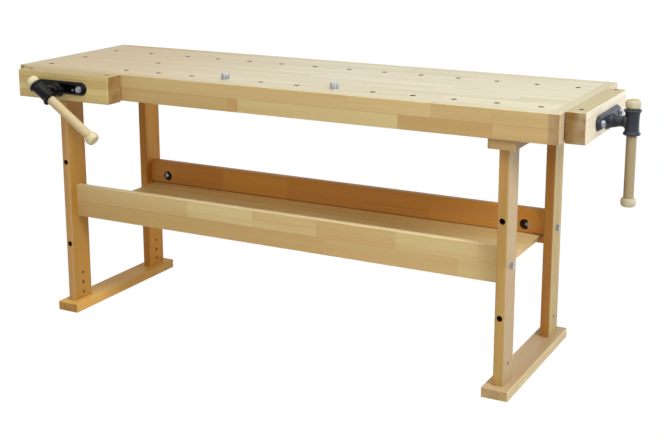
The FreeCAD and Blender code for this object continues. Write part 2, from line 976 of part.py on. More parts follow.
def sleeve():
    """The cross sleeve, along Z: slightly waisted, with a rounded collar at each end."""
    half = sleeve_length / 2
    inner = half - sleeve_collar_length
    points = [
        Vector(0, 0, -half),
        Vector(sleeve_collar_radius, 0, -half),
        Vector(sleeve_collar_radius, 0, -inner),
        Vector(sleeve_radius, 0, -inner),
        Vector(sleeve_radius, 0, inner),
        Vector(sleeve_collar_radius, 0, inner),
        Vector(sleeve_collar_radius, 0, half),
        Vector(0, 0, half),
    ]
    waist = Part.Arc(points[3], Vector(sleeve_waist_radius, 0, 0), points[4]).toShape()
    edges = [Part.makeLine(points[i], points[i + 1]) for i in range(7) if i != 3]
    edges.insert(3, waist)
    edges.append(Part.makeLine(points[7], points[0]))
    body = Part.Face(Part.Wire(edges)).revolve(Vector(0, 0, 0), Z, 360)
    rings = [
        edge
        for edge in body.Edges
        if len(edge.Vertexes) == 1 and edge.Curve.Radius > sleeve_collar_radius - fit_gap
    ]
    return body.makeFillet(sleeve_collar_rounding, rings)


def neck():
    """The neck over the screw's end: a rounded shoulder, then a flare into the sleeve."""
    start = Vector(hub_height + thrust_gap, 0, 0)
    middle = Vector(sleeve_reach, 0, 0)
    shoulder_end = start + X * neck_shoulder_length
    shoulder = cylinder(neck_shoulder_radius, start, shoulder_end)
    edge = [e for e in shoulder.Edges if e.BoundBox.XMin > shoulder_end.x - fit_gap]
    shoulder = shoulder.makeFillet(neck_shoulder_rounding, edge)
    flare_start = sleeve_reach - sleeve_radius - neck_flare
    flare = Part.makeCone(
        neck_radius,
        neck_radius + neck_flare / 2,
        neck_flare * 2,
        Vector(flare_start, 0, 0),
        X,
    )
    return cylinder(neck_radius, start, middle).fuse([shoulder, flare])


def screw_head(vise):
    """The cast head: a neck over the screw's end and a cross sleeve for the bar."""
    middle = Vector(sleeve_reach, 0, 0)
    cross = sleeve()
    cross.Placement = Placement(middle, Rotation(Z, vise.handle))
    head = neck().fuse(cross).removeSplitter()
    half = vise.handle * (sleeve_length / 2)
    bore = cylinder(bar_radius + sleeve_bore_gap, middle - half, middle + half)
    start = Vector(hub_height + thrust_gap, 0, 0)
    socket = cylinder(screw_radius + fit_gap, start, Vector(socket_end, 0, 0))
    return head.cut([bore, socket, head_pin(fit_gap)])


def handle_bar(vise):
    """A turned wooden bar with a tenon at each end, drawn down against its upper knob."""
    middle = Vector(sleeve_reach, 0, 0) - vise.handle * bar_shift
    half = vise.handle * (handle_bar_length / 2)
    bar = cylinder(bar_radius, middle - half, middle + half)
    tenons = []
    for side in (-1, 1):
        end = middle + half * side
        tenons.append(
            cylinder(bar_tenon_radius, end, end + vise.handle * (side * bar_tenon_length))
        )
    return bar.fuse(tenons).removeSplitter()


def knob(base, along):
    """A turned knob: a barrel with a domed end and a blind hole for the bar's tenon."""
    shoulder = knob_length - knob_shoulder_height
    points = [
        Vector(0, 0, 0),
        Vector(bar_radius, 0, 0),
        Vector(knob_edge_radius, 0, knob_foot_height),
        Vector(knob_edge_radius, 0, shoulder),
        Vector(knob_end_radius, 0, knob_length),
        Vector(0, 0, knob_length),
    ]
    wall_middle = Vector(knob_radius, 0, (knob_foot_height + shoulder) / 2)
    shoulder_middle = Vector(
        (knob_edge_radius + knob_end_radius) / 2 + knob_shoulder_height / 4,
        0,
        shoulder + knob_shoulder_height * 3 / 4,
    )
    edges = [
        Part.makeLine(points[0], points[1]),
        Part.makeLine(points[1], points[2]),
        Part.Arc(points[2], wall_middle, points[3]).toShape(),
        Part.Arc(points[3], shoulder_middle, points[4]).toShape(),
        Part.makeLine(points[4], points[5]),
        Part.makeLine(points[5], points[0]),
    ]
    body = Part.Face(Part.Wire(edges)).revolve(Vector(0, 0, 0), Z, 360)
    hole = Part.makeCylinder(bar_tenon_radius + fit_gap, bar_tenon_length + fit_gap)
    body = body.cut(hole)
    body.Placement = Placement(base, Rotation(Z, along))
    return body


def handle_knobs(vise):
    middle = Vector(sleeve_reach, 0, 0) - vise.handle * bar_shift
    half = vise.handle * (handle_bar_length / 2)
    return Part.makeCompound(
        [knob(middle + half * side, vise.handle * side) for side in (-1, 1)]
    )


def bracket(vise):
    """The cast bracket under the top: a nut for the screw and a guide for each rod."""
    x1 = vise.rim_inside
    x0 = x1 - bracket_depth
    top = vise.panel_height
    half = bracket_width / 2
    plate = box(x0, x1, -half, half, top - bracket_plate, top)
    plate = round_edges(plate, bracket_corner, lambda mid, way: abs(way.z) > 1)
    middle = (x0 + x1) / 2
    boss_back = Vector(middle - bracket_boss_length / 2, 0, 0)
    boss_front = Vector(middle + bracket_boss_length / 2, 0, 0)
    pieces = [cylinder(bracket_nut_radius, boss_back, boss_front)]
    for y in rod_sides():
        shift = Vector(0, y, screw_drop)
        pieces.append(cylinder(bracket_rod_radius, boss_back + shift, boss_front + shift))
        pieces.append(
            box(
                boss_back.x,
                boss_front.x,
                y - bracket_gusset / 2,
                y + bracket_gusset / 2,
                screw_drop,
                top - bracket_plate / 2,
            )
        )
    web_half = guide_rod_spacing / 2
    web = box(
        middle - bracket_web / 2, middle + bracket_web / 2, -web_half, web_half, 0, top - 1
    )
    casting = plate.fuse(pieces + [web]).removeSplitter()
    bores = vise_bores(
        guide_rod_radius + running_gap, screw_radius + running_gap, boss_back.x, boss_front.x
    )
    holes = [screw_hole(bracket_screw_length, at, -Z) for at in bracket_screw_places(vise)]
    return casting.cut([bores] + holes)


def bracket_screws(vise):
    return Part.makeCompound(
        [wood_screw(bracket_screw_length, at, -Z) for at in bracket_screw_places(vise)]
    )


def jaw_blank(start, length, height, rise, thickness):
    """A jaw in its vise's own frame, bored for the screw, the collar and the rods."""
    top = rod_drop + screw_drop + rise
    block = box(-thickness, 0, start, start + length, top - height, top)
    block = round_edges(block, jaw_rounding, lambda mid, way: True)
    recess = cylinder(
        thrust_collar_radius + 1,
        Vector(-thrust_collar_thickness - 2 * thrust_gap, 0, 0),
        Vector(0, 0, 0),
    )
    screw_holes = [screw_hole(flange_screw_length, at, X) for at in flange_screw_places()]
    bores = vise_bores(guide_rod_radius + rod_jaw_gap, screw_hole_radius, -thickness, 0)
    return block.cut([bores, recess] + screw_holes)


def front_jaw():
    blank = jaw_blank(
        front_jaw_left - front_screw_from_end,
        front_jaw_length,
        front_jaw_height,
        front_jaw_rise,
        front_jaw_thickness,
    )
    jaw = front_vise.put(blank)
    ends = jaw.BoundBox
    y = -front_jaw_gap - front_jaw_thickness / 2
    return jaw.cut(
        [
            dog_bore(x, y, ends.ZMin, ends.ZMax)
            for x in (ends.XMin + front_jaw_hole_inset, ends.XMax - front_jaw_hole_inset)
        ]
    )


def end_jaw():
    blank = jaw_blank(
        end_jaw_front_inset - end_screw_from_front,
        end_jaw_length,
        end_jaw_height,
        end_jaw_rise,
        end_jaw_thickness,
    )
    jaw = end_vise.put(blank)
    ends = jaw.BoundBox
    x = half_length + end_jaw_gap + end_jaw_thickness / 2
    return jaw.cut([dog_bore(x, y, ends.ZMin, ends.ZMax) for y in (front_row, back_row)])


def save_vises():
    save("front_jaw", front_jaw())
    save("end_jaw", end_jaw())
    for vise in (front_vise, end_vise):
        vise.save("vise_flange", flange())
        vise.save("flange_screws", flange_screws())
        vise.save("flange_bolts", flange_bolts())
        vise.save("guide_rods", guide_rods())
        vise.save("vise_screw", spindle())
        vise.save("thrust_collar", thrust_collar())
        vise.save("screw_head", screw_head(vise))
        vise.save("head_pin", head_pin(0))
        vise.save("handle_bar", handle_bar(vise))
        vise.save("handle_knobs", handle_knobs(vise))
        vise.save("nut_bracket", bracket(vise))
        vise.save("bracket_screws", bracket_screws(vise))


# ------------------------------------------------------------------ bench dogs
def bench_dog(column):
    """A steel dog: a plain shank and a head with one flat side that faces the end vise."""
    x = column_x(column)
    seat = Vector(x, front_row, top_height)
    shank = cylinder(dog_diameter / 2, seat - Z * dog_shank_length, seat)
    foot_z = seat.z - dog_shank_length
    tip = [e for e in shank.Edges if e.BoundBox.ZMax < foot_z + dog_chamfer]
    shank = shank.makeChamfer(dog_chamfer, tip)
    head = cylinder(dog_head_diameter / 2, seat, seat + Z * dog_head_height)
    flat = box(
        x + dog_flat_distance,
        x + dog_head_diameter,
        front_row - dog_head_diameter,
        front_row + dog_head_diameter,
        top_height,
        top_height + dog_head_height,
    )
    head = head.cut(flat)
    head = round_edges(
        head, dog_rounding, lambda mid, way: mid.z > top_height + dog_head_height - 0.01
    )
    return head.fuse(shank).removeSplitter()


def save_dogs():
    save("left_bench_dog", bench_dog(left_dog_column))
    save("right_bench_dog", bench_dog(right_dog_column))


save_top()
save_trestles()
save_stretchers()
save_vises()
save_dogs()
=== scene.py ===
# %% [markdown]
# # Dressing a woodworking bench
#
# The measured model of the bench comes from the workshop: every board, casting and bolt is
# already the right size and in the right place. This lesson gives it its beech, its paint
# and its steel, turns and cuts the pieces that need more care than the drawing gives them,
# and sets up a camera and a plain studio.
#
# Everything is in metres. X runs along the top towards the end vise, Y from the front to
# the back, and Z is up. The origin is on the floor, under the middle of the bench.

import math
from contextlib import contextmanager
from types import SimpleNamespace

import bmesh
import bpy
from mathutils import Matrix, Vector


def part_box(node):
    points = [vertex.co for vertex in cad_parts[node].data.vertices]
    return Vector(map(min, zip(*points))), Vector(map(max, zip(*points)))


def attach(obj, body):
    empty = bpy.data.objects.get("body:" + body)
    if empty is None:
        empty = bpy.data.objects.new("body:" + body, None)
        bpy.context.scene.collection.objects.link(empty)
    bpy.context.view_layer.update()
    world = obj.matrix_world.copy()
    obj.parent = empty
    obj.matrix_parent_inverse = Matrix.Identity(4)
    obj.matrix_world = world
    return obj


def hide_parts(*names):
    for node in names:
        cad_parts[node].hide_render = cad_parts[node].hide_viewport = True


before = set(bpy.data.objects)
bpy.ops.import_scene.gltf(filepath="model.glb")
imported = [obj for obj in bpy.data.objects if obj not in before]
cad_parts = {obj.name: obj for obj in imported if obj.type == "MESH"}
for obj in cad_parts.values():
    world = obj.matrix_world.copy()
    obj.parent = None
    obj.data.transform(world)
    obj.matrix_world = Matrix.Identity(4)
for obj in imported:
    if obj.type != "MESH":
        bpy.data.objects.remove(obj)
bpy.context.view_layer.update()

# %% [markdown]
# ## The camera
#
# A three-quarter view from the right, at eye height, shows both vises, the top and the
# shelf. It is worked out as a place, a turn round the upright axis, a tilt down and a very
# small lean. A long lens keeps the bench from stretching, and a little downward shift
# frames it.

# %% Put up the camera
camera_place = Vector((1.8918, -3.4423, 1.5445))
camera_turn, camera_tilt, camera_lean = 27.825, 12.327, -0.065

aim = (
    Matrix.Rotation(math.radians(camera_turn), 3, "Z")
    @ Matrix.Rotation(math.radians(90 - camera_tilt), 3, "X")
    @ Matrix.Rotation(math.radians(camera_lean), 3, "Z")
)
bpy.ops.object.camera_add(location=camera_place, rotation=aim.to_euler())
camera = bpy.context.object
camera.name = "bench_camera"
camera.data.sensor_width = 36
camera.data.lens = 64.78
camera.data.shift_y = -0.12
camera.data.clip_end = 60
bpy.context.scene.camera = camera
print("camera at", tuple(round(v, 3) for v in camera.location))

# %% [markdown]
# ## Writing shaders as sums
#
# A wood or paint recipe is mostly arithmetic: stretch a coordinate, add some noise, keep
# what lies above a limit. Drawn as nodes that is hard to read, so a small class wraps a
# shader socket and lets Python's own signs add the Math nodes. A second class holds the
# node tree of one material, or of the world, and adds every other kind of node.


# %% A shader value that can be used in a sum
class Value:
    """A socket in a shader. Sums of numbers add Math nodes."""

    def __init__(self, recipe, socket):
        self.recipe = recipe
        self.socket = socket

    def math(self, operation, first, second=0.0):
        inputs = {0: first, 1: second}
        return self.recipe.node("ShaderNodeMath", {"operation": operation}, inputs)

    def __add__(self, other):
        return self.math("ADD", self, other)

    __radd__ = __add__

    def __sub__(self, other):
        return self.math("SUBTRACT", self, other)

    def __rsub__(self, other):
        return self.math("SUBTRACT", other, self)

    def __mul__(self, other):
        return self.math("MULTIPLY", self, other)

    __rmul__ = __mul__

    def __truediv__(self, other):
        return self.math("DIVIDE", self, other)

    def __pow__(self, other):
        return self.math("POWER", self, other)

    def __gt__(self, other):
        return self.math("GREATER_THAN", self, other)

    def __lt__(self, other):
        return self.math("LESS_THAN", self, other)

    def floor(self):
        return self.math("FLOOR", self)

    def fraction(self):
        return self.math("FRACT", self)

    def size(self):
        return self.math("ABSOLUTE", self)

    def least(self, other):
        return self.math("MINIMUM", self, other)

    def wave(self):
        """A sine, moved to lie between 0 and 1."""
        return self.math("SINE", self) * 0.5 + 0.5

    def ease(self, low, high):
        """0 below low, 1 above high, and a smooth rise between them."""
        return self.recipe.node(
            "ShaderNodeMapRange",
            {"interpolation_type": "SMOOTHSTEP"},
            {0: self, 1: low, 2: high, 3: 0.0, 4: 1.0},
        )


# %% Colours by their paint-chart codes
def tint(code):
    """The light values of a six-letter code."""
    parts = [int(code[i : i + 2], 16) / 255 for i in (0, 2, 4)]
    return [p / 12.92 if p < 0.04045 else ((p + 0.055) / 1.055) ** 2.4 for p in parts] + [1]


print("light values of plain beech:", [round(v, 3) for v in tint("D3BC85")])


# %% A recipe is the node tree of one material, or of the world
class Recipe:
    """A node tree under construction. Blender's other nodes come from its node method."""

    def __init__(self, owner):
        owner.use_nodes = True
        self.owner = owner
        self.tree = owner.node_tree
        self.tree.nodes.clear()

    def node(self, kind, settings=None, inputs=None, out=0):
        """Adds a node, first with its settings and then with its numbers and links."""
        made = self.tree.nodes.new(kind)
        for key, value in (settings or {}).items():
            setattr(made, key, value)
        for key, value in (inputs or {}).items():
            if isinstance(value, Value):
                self.tree.links.new(value.socket, made.inputs[key])
            else:
                made.inputs[key].default_value = value
        return Value(self, made.outputs[out]) if made.outputs else None

    def coordinates(self, kind="Object"):
        """Where a point lies in the bench, or which way its surface faces (Normal)."""
        return self.node("ShaderNodeTexCoord", out=kind)

    def parts(self, vector):
        """The three numbers of a vector."""
        split = self.node("ShaderNodeSeparateXYZ", None, {0: vector}).socket.node
        return [Value(self, socket) for socket in split.outputs]

    def vector(self, x, y, z):
        return self.node("ShaderNodeCombineXYZ", None, {0: x, 1: y, 2: z})

    def noise(self, vector, scale, detail=3.0, rough=0.5):
        settings = {"noise_dimensions": "3D"}
        inputs = {"Vector": vector, "Scale": scale, "Detail": detail, "Roughness": rough}
        return self.node("ShaderNodeTexNoise", settings, inputs)

    def chance(self, x, y, z=0.0):
        """A fixed random number from 0 to 1 for each set of whole numbers."""
        spot = self.vector(x, y, z)
        return self.node("ShaderNodeTexWhiteNoise", {"noise_dimensions": "3D"}, {0: spot})

    def blend(self, amount, first, second):
        """Goes from one colour to another. Each is a value or a paint-chart code."""
        first, second = (tint(c) if isinstance(c, str) else c for c in (first, second))
        inputs = {0: amount, 6: first, 7: second}
        return self.node("ShaderNodeMix", {"data_type": "RGBA"}, inputs, 2)

    def bump(self, height, strength, distance):
        inputs = {"Strength": strength, "Distance": distance, "Height": height}
        return self.node("ShaderNodeBump", None, inputs)

    def close(self, shader, kind="Material"):
        """Leads the last shader to the output, and gives back the material or world."""
        self.node(f"ShaderNodeOutput{kind}", None, {"Surface": shader})
        return self.owner

    def surface(self, inputs):
        return self.close(self.node("ShaderNodeBsdfPrincipled", None, inputs))


# %% [markdown]
# ## Beech
#
# The bench is glued up from steamed beech staves. Seen close, each stave has its own tone,
# a fine streak along the grain, faint growth rings that run out in long tongues, and the
# short dark dashes that give beech away. On a cut end the rings show as arcs and the wood
# drinks more oil, so it is darker, and darkest near the heart of the tree. The walls of a
# bored hole get painted shade as well as their darker end grain.
#
# All of that can be worked out from where a point lies in the solid board, which makes the
# grain turn the corner of a board as it does in real wood. A picture of wood, wrapped round
# each board, would never meet at the edges.
#
# Each face of a board can also get colours of its own: its top, its sides and the faces that
# look back or left. These colours paint light and shade: paler lit tops and sides, darker
# shaded sides, and plain beech on the back faces of boards whose own colours carry painted
# shade. The recipe tells them apart by the way that the surface faces.


# %% Tell which stave a point belongs to
def stave_of(recipe, along, across, origin, width, length, seed):
    """The stave's row, number and tone, and how close the point is to a glue line."""
    rows = (across - origin) / width
    row = rows.floor()
    run = along / length + recipe.chance(row, seed, 3.7) * 5.0
    number = run.floor()
    side_gap = (0.5 - (rows.fraction() - 0.5).size()) * width
    end_gap = (0.5 - (run.fraction() - 0.5).size()) * length
    return row, number, recipe.chance(row, number, seed), side_gap.least(end_gap)


# %% Staves laid one by one, for a board that is two staves high
def laid_staves(recipe, along, across, origin, width, rows):
    """The same, from lists of (start, tone) for the lower and the upper row."""
    row = (across - origin) > width
    number, tone = 0.0, 0.0
    line = (across - origin - width).size()
    for level, staves in enumerate(rows):
        here = 1.0 - (row - float(level)).size()
        last_tone = 0.0
        for start, stave_tone in staves:
            past = (along > start) * here
            number = past + number
            tone = past * (stave_tone - last_tone) + tone
            line = line.least((along - start).size() + (1.0 - here))
            last_tone = stave_tone
    return row, number, tone, line


# %% Draw the figure of the wood inside one stave
def grain_noise(recipe, spot, along, across, detail, rough=0.5, shift=0.0):
    """Noise drawn out along the grain, with its repeats in a metre each way."""
    far, near, down = spot
    stretched = recipe.vector(far * along, near * across, down * across + shift)
    return recipe.noise(stretched, 1.0, detail, rough)


def figure_of(recipe, along, across, deep, row, number, width, seed):
    """How strongly rings, streaks, bands, warm clouds and flecks show at a point."""
    lot = recipe.chance(row, number, seed + 11.3)
    luck = recipe.chance(row, number, seed + 5.1)
    # each stave is cut from another place in the tree
    spot = (along + lot * 9.0, across + luck * 3.0, deep + lot * 5.0)
    ring_x = across - row * width + (luck - 0.5) * 0.09
    ring_y = deep + 0.05 + (lot - 0.5) * 0.16
    wander = grain_noise(recipe, spot, 1.6, 9.0, 2.0)
    radius = (ring_x * ring_x + ring_y * ring_y) ** 0.5 + wander * 0.03
    return SimpleNamespace(
        ring=(radius * 1150.0).wave() ** 2.0,  # a ring every 5.5 mm
        streak=grain_noise(recipe, spot, 5.0, 260.0, 4.0, 0.6),
        band=grain_noise(recipe, spot, 0.9, 30.0, 3.0) - 0.5,
        cloud=grain_noise(recipe, spot, 1.3, 45.0, 2.0, shift=7.0),
        fleck=grain_noise(recipe, spot, 330.0, 2400.0, 1.0).ease(0.62, 0.72),
    )


# %% Tell how deep in a board a point lies
def depth_in(spots, board):
    """Metres under the nearest outer face of a measured board; 0 on its faces."""
    depth = None
    for spot, low, high in zip(spots, *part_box(board)):
        gap = (high - low) / 2 - (spot - (low + high) / 2).size()
        depth = depth.least(gap) if depth else gap
    return depth


# %% The beech recipe
# bore_shade_tone paints the shade inside bores and along a joint
warm_tone, bore_shade_tone, left_end_tone = "C98F5C", "3A2412", "B5985E"


def beech(
    name, colours, axes, origin=0.0, width=0.5, length=3.0, rows=None, seed=1.0,
    contrast=0.3, bands=0.9, blush=0.3, rings=0.35, lit_top=None, lit_top_tone=0.0, drift=0.0,
    side_light=None, unshaded_back=None, end_tone="8A6238", end_mix=0.4, blots=0.25, heart=None,
    board=None, shade_line_at=None, turn=None, rough=0.42, shine=0.25, coat=0.0,
):
    """Beech for one board, which is a single stave unless it is told otherwise.

    colours: the pale and the dark end of the wood's tone. axes: the grain's axis, and the
        axis along which the staves lie side by side.
    origin, width, length: where chance lays the staves. rows: staves laid one by one.
    contrast, bands, blush, rings: how strongly the staves' own tones, the broad bands, the
        warm clouds and the growth rings show.
    lit_top, side_light, unshaded_back: the colours of level faces and of faces that look along
    X, which paint the light and shade on them, and of faces that look back or left, which
    keep a plain beech colour without the painted shade of the board's own colours.
    lit_top_tone: the staves' tones on the painted top. drift: how far the left end of the
    top turns darker and more olive.
    end_tone, end_mix, blots: a cut end's colour, how much of it shows, and how unevenly.
        heart: two places between which the cut end gets paler, away from the heart.
    board: the measured board whose bores get painted shade inside. shade_line_at: the height
    of a painted shadow line along its front. turn: how a slanted piece is turned. rough,
    shine, coat: the finish.
    """
    recipe = Recipe(bpy.data.materials.new(name))
    spot, face = recipe.coordinates("Object"), recipe.coordinates("Normal")
    if turn:
        settings = {"vector_type": "POINT"}
        spot = recipe.node("ShaderNodeMapping", settings, {0: spot, 2: turn})
        face = recipe.node("ShaderNodeMapping", settings, {0: face, 2: turn})
    spots, faces = recipe.parts(spot), recipe.parts(face)
    grain, row_axis = ("XYZ".index(letter) for letter in axes)
    along, across, deep = spots[grain], spots[row_axis], spots[3 - grain - row_axis]
    if rows:
        staves = laid_staves(recipe, along, across, origin, width, rows)
    else:
        staves = stave_of(recipe, along, across, origin, width, length, seed)
    row, number, tone, line = staves
    figure = figure_of(recipe, along, across, deep, row, number, width, seed)

    # the colour of each face
    body = (tone - 0.5) * contrast + figure.band * bands + 0.5
    colour = recipe.blend(body, *colours)
    colour = recipe.blend(figure.cloud.ease(0.45, 0.7) * blush, colour, warm_tone)
    level = faces[2].size().ease(0.6, 0.9)
    # level faces get colours of their own, which paint the light and sheen that fall on tops
    if lit_top:
        top = recipe.blend((tone - 0.5) * lit_top_tone + figure.band * bands + 0.42, *lit_top)
        # the top's level faces turn darker and more olive towards its left end
        top = recipe.blend((0.0 - along).ease(0.0, 1.0) * drift, top, left_end_tone)
        colour = recipe.blend(level, colour, top)
    # faces that look along X get colours of their own: painted light where a side is lit,
    # painted shade where it is shaded
    if side_light:
        side = recipe.blend(figure.band * bands + 0.45, *side_light)
        colour = recipe.blend(faces[0].size().ease(0.6, 0.9), colour, side)
    # faces that look back or left keep a plain beech colour, without the painted shade in the
    # board's own colours
    if unshaded_back:
        facing_back = (faces[1] - faces[0]).ease(0.6, 0.9)
        colour = recipe.blend(facing_back, colour, recipe.blend(body, *unshaded_back))

    # rings, streaks and flecks
    end_grain = faces[grain].size().ease(0.75, 0.95)
    rim = figure.ring * rings * 0.45 * (1.0 - level * 0.7) + end_grain * figure.ring * 0.3
    colour = recipe.blend(rim, colour, end_tone)
    colour = recipe.blend(figure.streak.ease(0.45, 0.8) * 0.22, colour, colours[1])
    colour = recipe.blend(figure.fleck * 0.22 * (1.0 - end_grain), colour, end_tone)

    # cut ends, glue lines, and painted shade in bores and along a joint
    blot = recipe.noise(recipe.vector(along, across * 28.0, deep * 28.0), 1.0, 2.0)
    drink = end_grain * (blot.ease(0.45, 0.65) * blots + end_mix)
    if heart:
        drink = drink + end_grain * (1.0 - deep.ease(*heart)) * 0.28
    colour = recipe.blend(drink, colour, end_tone)
    glue = 1.0 - line.ease(0.0002, 0.0009)
    colour = recipe.blend(glue * 0.4, colour, end_tone)
    # painted shade darkens the walls of the board's bores, over their darker end grain
    if board:
        bore_shade = depth_in(spots, board).ease(0.0004, 0.0025)
        colour = recipe.blend(bore_shade * 0.93, colour, bore_shade_tone)
    # a painted shadow line just above the shelf along the board's front faces
    if shade_line_at:
        near_shade_line = 1.0 - (spots[2] - shade_line_at).size().ease(0.0015, 0.0045)
        colour = recipe.blend(near_shade_line * (faces[1] < -0.5) * 0.75, colour, bore_shade_tone)

    height = figure.streak * 0.5 - figure.fleck * 0.35 - glue * 0.6
    return recipe.surface(
        {
            "Base Color": colour,
            "Roughness": figure.streak * 0.12 + end_grain * 0.15 + rough,
            "Normal": recipe.bump(height, 0.35, 0.0004),
            "Specular IOR Level": shine,
            "Coat Weight": coat,
            "Coat Roughness": 0.3,
        }
    )


# %% [markdown]
# ## The boards
#
# The top is made of many narrow staves whose ends fall anywhere, so chance lays them. The
# aprons and the stretchers are only two staves high and the eye reads every joint in them,
# so those staves are listed one by one, each with the place where it starts and its tone.
# Legs, feet and bearers are one stave each. All could share one material, but the bench
# would then look printed, so the boards get seeds and colours of their own, and some of
# these colours also paint the light and shade that fall on a board.

# %% Put a material on measured pieces
dressed = []


def wear(material, *nodes):
    for name in nodes:
        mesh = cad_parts[name].data
        mesh.materials.clear()
        mesh.materials.append(material)
    dressed.extend(nodes)
    print(material.name, "on", *nodes)


# %% The top
# the lit top colours of the top and the aprons paint the light and sheen from above
lit_top = ("C6BC9A", "B5A57C")
top_beech = beech(
    "beech_top", ("7E6340", "6A4F2E"), "XY", width=0.043, length=0.52, contrast=0.5,
    rings=0.5, lit_top=lit_top, lit_top_tone=0.8, drift=0.85, board="top_panel", rough=0.36,
    shine=0.5, coat=0.2,
)
wear(top_beech, "top_panel")

# %% The aprons and the end caps
apron_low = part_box("front_apron")[0].z
apron_row = (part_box("front_apron")[1].z - apron_low) / 2
apron_rows = (
    ((-2.0, 0.75), (-0.19, 0.85), (-0.155, 0.25), (0.414, 1.0), (0.7145, 0.75)),
    ((-2.0, 0.38), (0.2395, 0.33), (0.5225, 0.65), (0.7145, 0.7)),
)
apron_beech = beech(
    "beech_apron", ("CDB87E", "B49055"), "XZ", origin=apron_low, width=apron_row,
    rows=apron_rows, seed=2.0, contrast=1.0, bands=0.6, lit_top=lit_top, drift=0.85, shine=0.4,
)
wear(apron_beech, "front_apron", "rear_apron")

# the caps' level faces and end faces get colours that paint the light on them
cap_beech = beech(
    "beech_cap", ("C1B07B", "AC8E57"), "YZ", origin=apron_low - 0.002,
    width=apron_row + 0.003, length=0.9, seed=3.0, contrast=0.5,
    lit_top=("C0B693", "AFA076"), side_light=("D6C098", "BF9B6D"), shine=0.4,
)
wear(cap_beech, "left_end_cap", "right_end_cap")
print("an apron's stave is", round(apron_row, 4), "high")

# %% The stretchers
# plain beech for back and left faces, free of the painted shade that some boards' front colours
# carry
unshaded_back = ("D0B67F", "B28E56")
stretcher_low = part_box("front_stretcher")[0].z
stretcher_row = (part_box("front_stretcher")[1].z - stretcher_low) / 2
stretcher_staves = dict(origin=stretcher_low, width=stretcher_row, contrast=1.0, bands=0.6)
front_rows = (
    ((-2.0, 0.75), (0.117, 0.6), (0.5885, 0.38)),
    ((-2.0, 0.4), (-0.4115, 0.1), (-0.1465, 0.25), (0.0965, 0.55), (0.3785, 0.25),
     (0.6585, 0.42)),
)
rear_rows = (
    ((-2.0, 0.8), (-0.5615, 0.5), (-0.2735, 0.7), (0.3, 0.5), (0.61, 0.9)),
    ((-2.0, 0.7), (-0.5615, 0.4), (-0.2735, 0.6), (0.3, 0.5), (0.61, 0.9)),
)
# the front stretcher's pale top colours paint the light caught by its rounded top edge
front_stretcher_beech = beech(
    "beech_front_stretcher", ("D2BD84", "B99154"), "XZ", rows=front_rows, seed=4.0,
    lit_top=("F3DAA4", "E2C485"), board="front_stretcher", **stretcher_staves,
)
wear(front_stretcher_beech, "front_stretcher", "front_shelf_cleat")
# the rear stretcher's saturated orange colours paint the shade under the top on its front, with
# a painted shadow line along the shelf; its back and left faces keep plain beech
rear_stretcher_beech = beech(
    "beech_rear_stretcher", ("E8A954", "C68433"), "XZ", rows=rear_rows, seed=14.0,
    unshaded_back=unshaded_back, board="rear_stretcher", shade_line_at=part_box("shelf_board")[1].z,
    **stretcher_staves,
)
wear(rear_stretcher_beech, "rear_stretcher", "rear_shelf_cleat")
print("a stretcher's stave is", round(stretcher_row, 4), "high")

# %% The legs, the feet and the bearers
# the legs' colours paint the light and shade on them: the rear legs are darker and more orange
# where the top shades them, the left legs' inner sides are painted shaded and the right legs'
# outer sides painted lit
for name, seed, colours, side_light, blush in (
    ("front_left_leg", 5.0, ("D2AA6B", "B78344"), ("BB8937", "A36A21"), 0.5),
    ("front_right_leg", 6.0, ("BC9B56", "A57836"), ("BC9F6F", "AC895F"), 0.5),
    ("rear_left_leg", 15.0, ("D09339", "B87422"), ("E7A434", "CC821F"), 0.2),
    ("rear_right_leg", 16.0, ("B27A30", "9B5F1D"), ("BFA365", "AE8D56"), 0.2),
):
    leg_beech = beech(
        f"beech_{name}", colours, "ZY", seed=seed, bands=1.4, blush=blush, side_light=side_light,
        unshaded_back=unshaded_back, board=name,
    )
    wear(leg_beech, name)

# the feet's top colours paint the light on them, and the left foot's warmer orange paints the
# shade under the bench
left_foot_beech = beech(
    "beech_left_foot", ("EBBA5C", "CD923D"), "YX", seed=7.0, lit_top=("F5C76C", "D79E47"),
    unshaded_back=unshaded_back,
)
right_foot_beech = beech(
    "beech_right_foot", ("D9C48F", "BF9D60"), "YX", seed=16.0, lit_top=("CDB188", "B48D5A")
)
# the bearers' darker end faces paint the shade of the overhanging top
bearer_beech = beech(
    "beech_bearer", ("D3BC85", "B99659"), "YX", seed=17.0, side_light=("A97D4A", "926437")
)
wear(left_foot_beech, "left_foot")
wear(right_foot_beech, "right_foot")
wear(bearer_beech, "left_bearer", "right_bearer")

# %% The jaws, the shelf and the dowels
heart_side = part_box("end_jaw")[0].x
jaw_wood = dict(origin=apron_low, width=0.024, contrast=0.7, end_mix=0.66, blots=0.16)
# the jaws' tops get colours of their own, which paint the light and sheen on them
front_jaw_beech = beech(
    "beech_jaw_front", ("DCC586", "B6965B"), "XZ", seed=7.0, lit_top=("B2A06F", "9E8852"),
    blush=0.05, end_tone="7F531E", board="front_jaw", **jaw_wood,
)
end_jaw_beech = beech(
    "beech_jaw_end", ("E7D9B8", "D1B78C"), "YZ", seed=8.0, lit_top=("B0A27A", "9C895A"),
    blush=0.1, end_tone="7D591F", heart=(heart_side + 0.014, heart_side + 0.044),
    board="end_jaw", **jaw_wood,
)
# the shelf's very pale colours paint the light that reaches it in the shade of the top
shelf_wood = beech(
    "shelf_wood", ("FEE09B", "F5CC82"), "XY", width=0.11, seed=9.0, contrast=0.25,
    rings=0.12, bands=0.5,
)
dowel_beech = beech("beech_dowel", ("D8BC8C", "C59F6A"), "XY", seed=10.0)
wear(front_jaw_beech, "front_jaw")
wear(end_jaw_beech, "end_jaw")
wear(shelf_wood, "shelf_board")
wear(dowel_beech, "end_cap_dowels", "stretcher_dowels")

# %% The bars and knobs of the handles
handle_tilt = math.radians(55)
knob_beech = {}
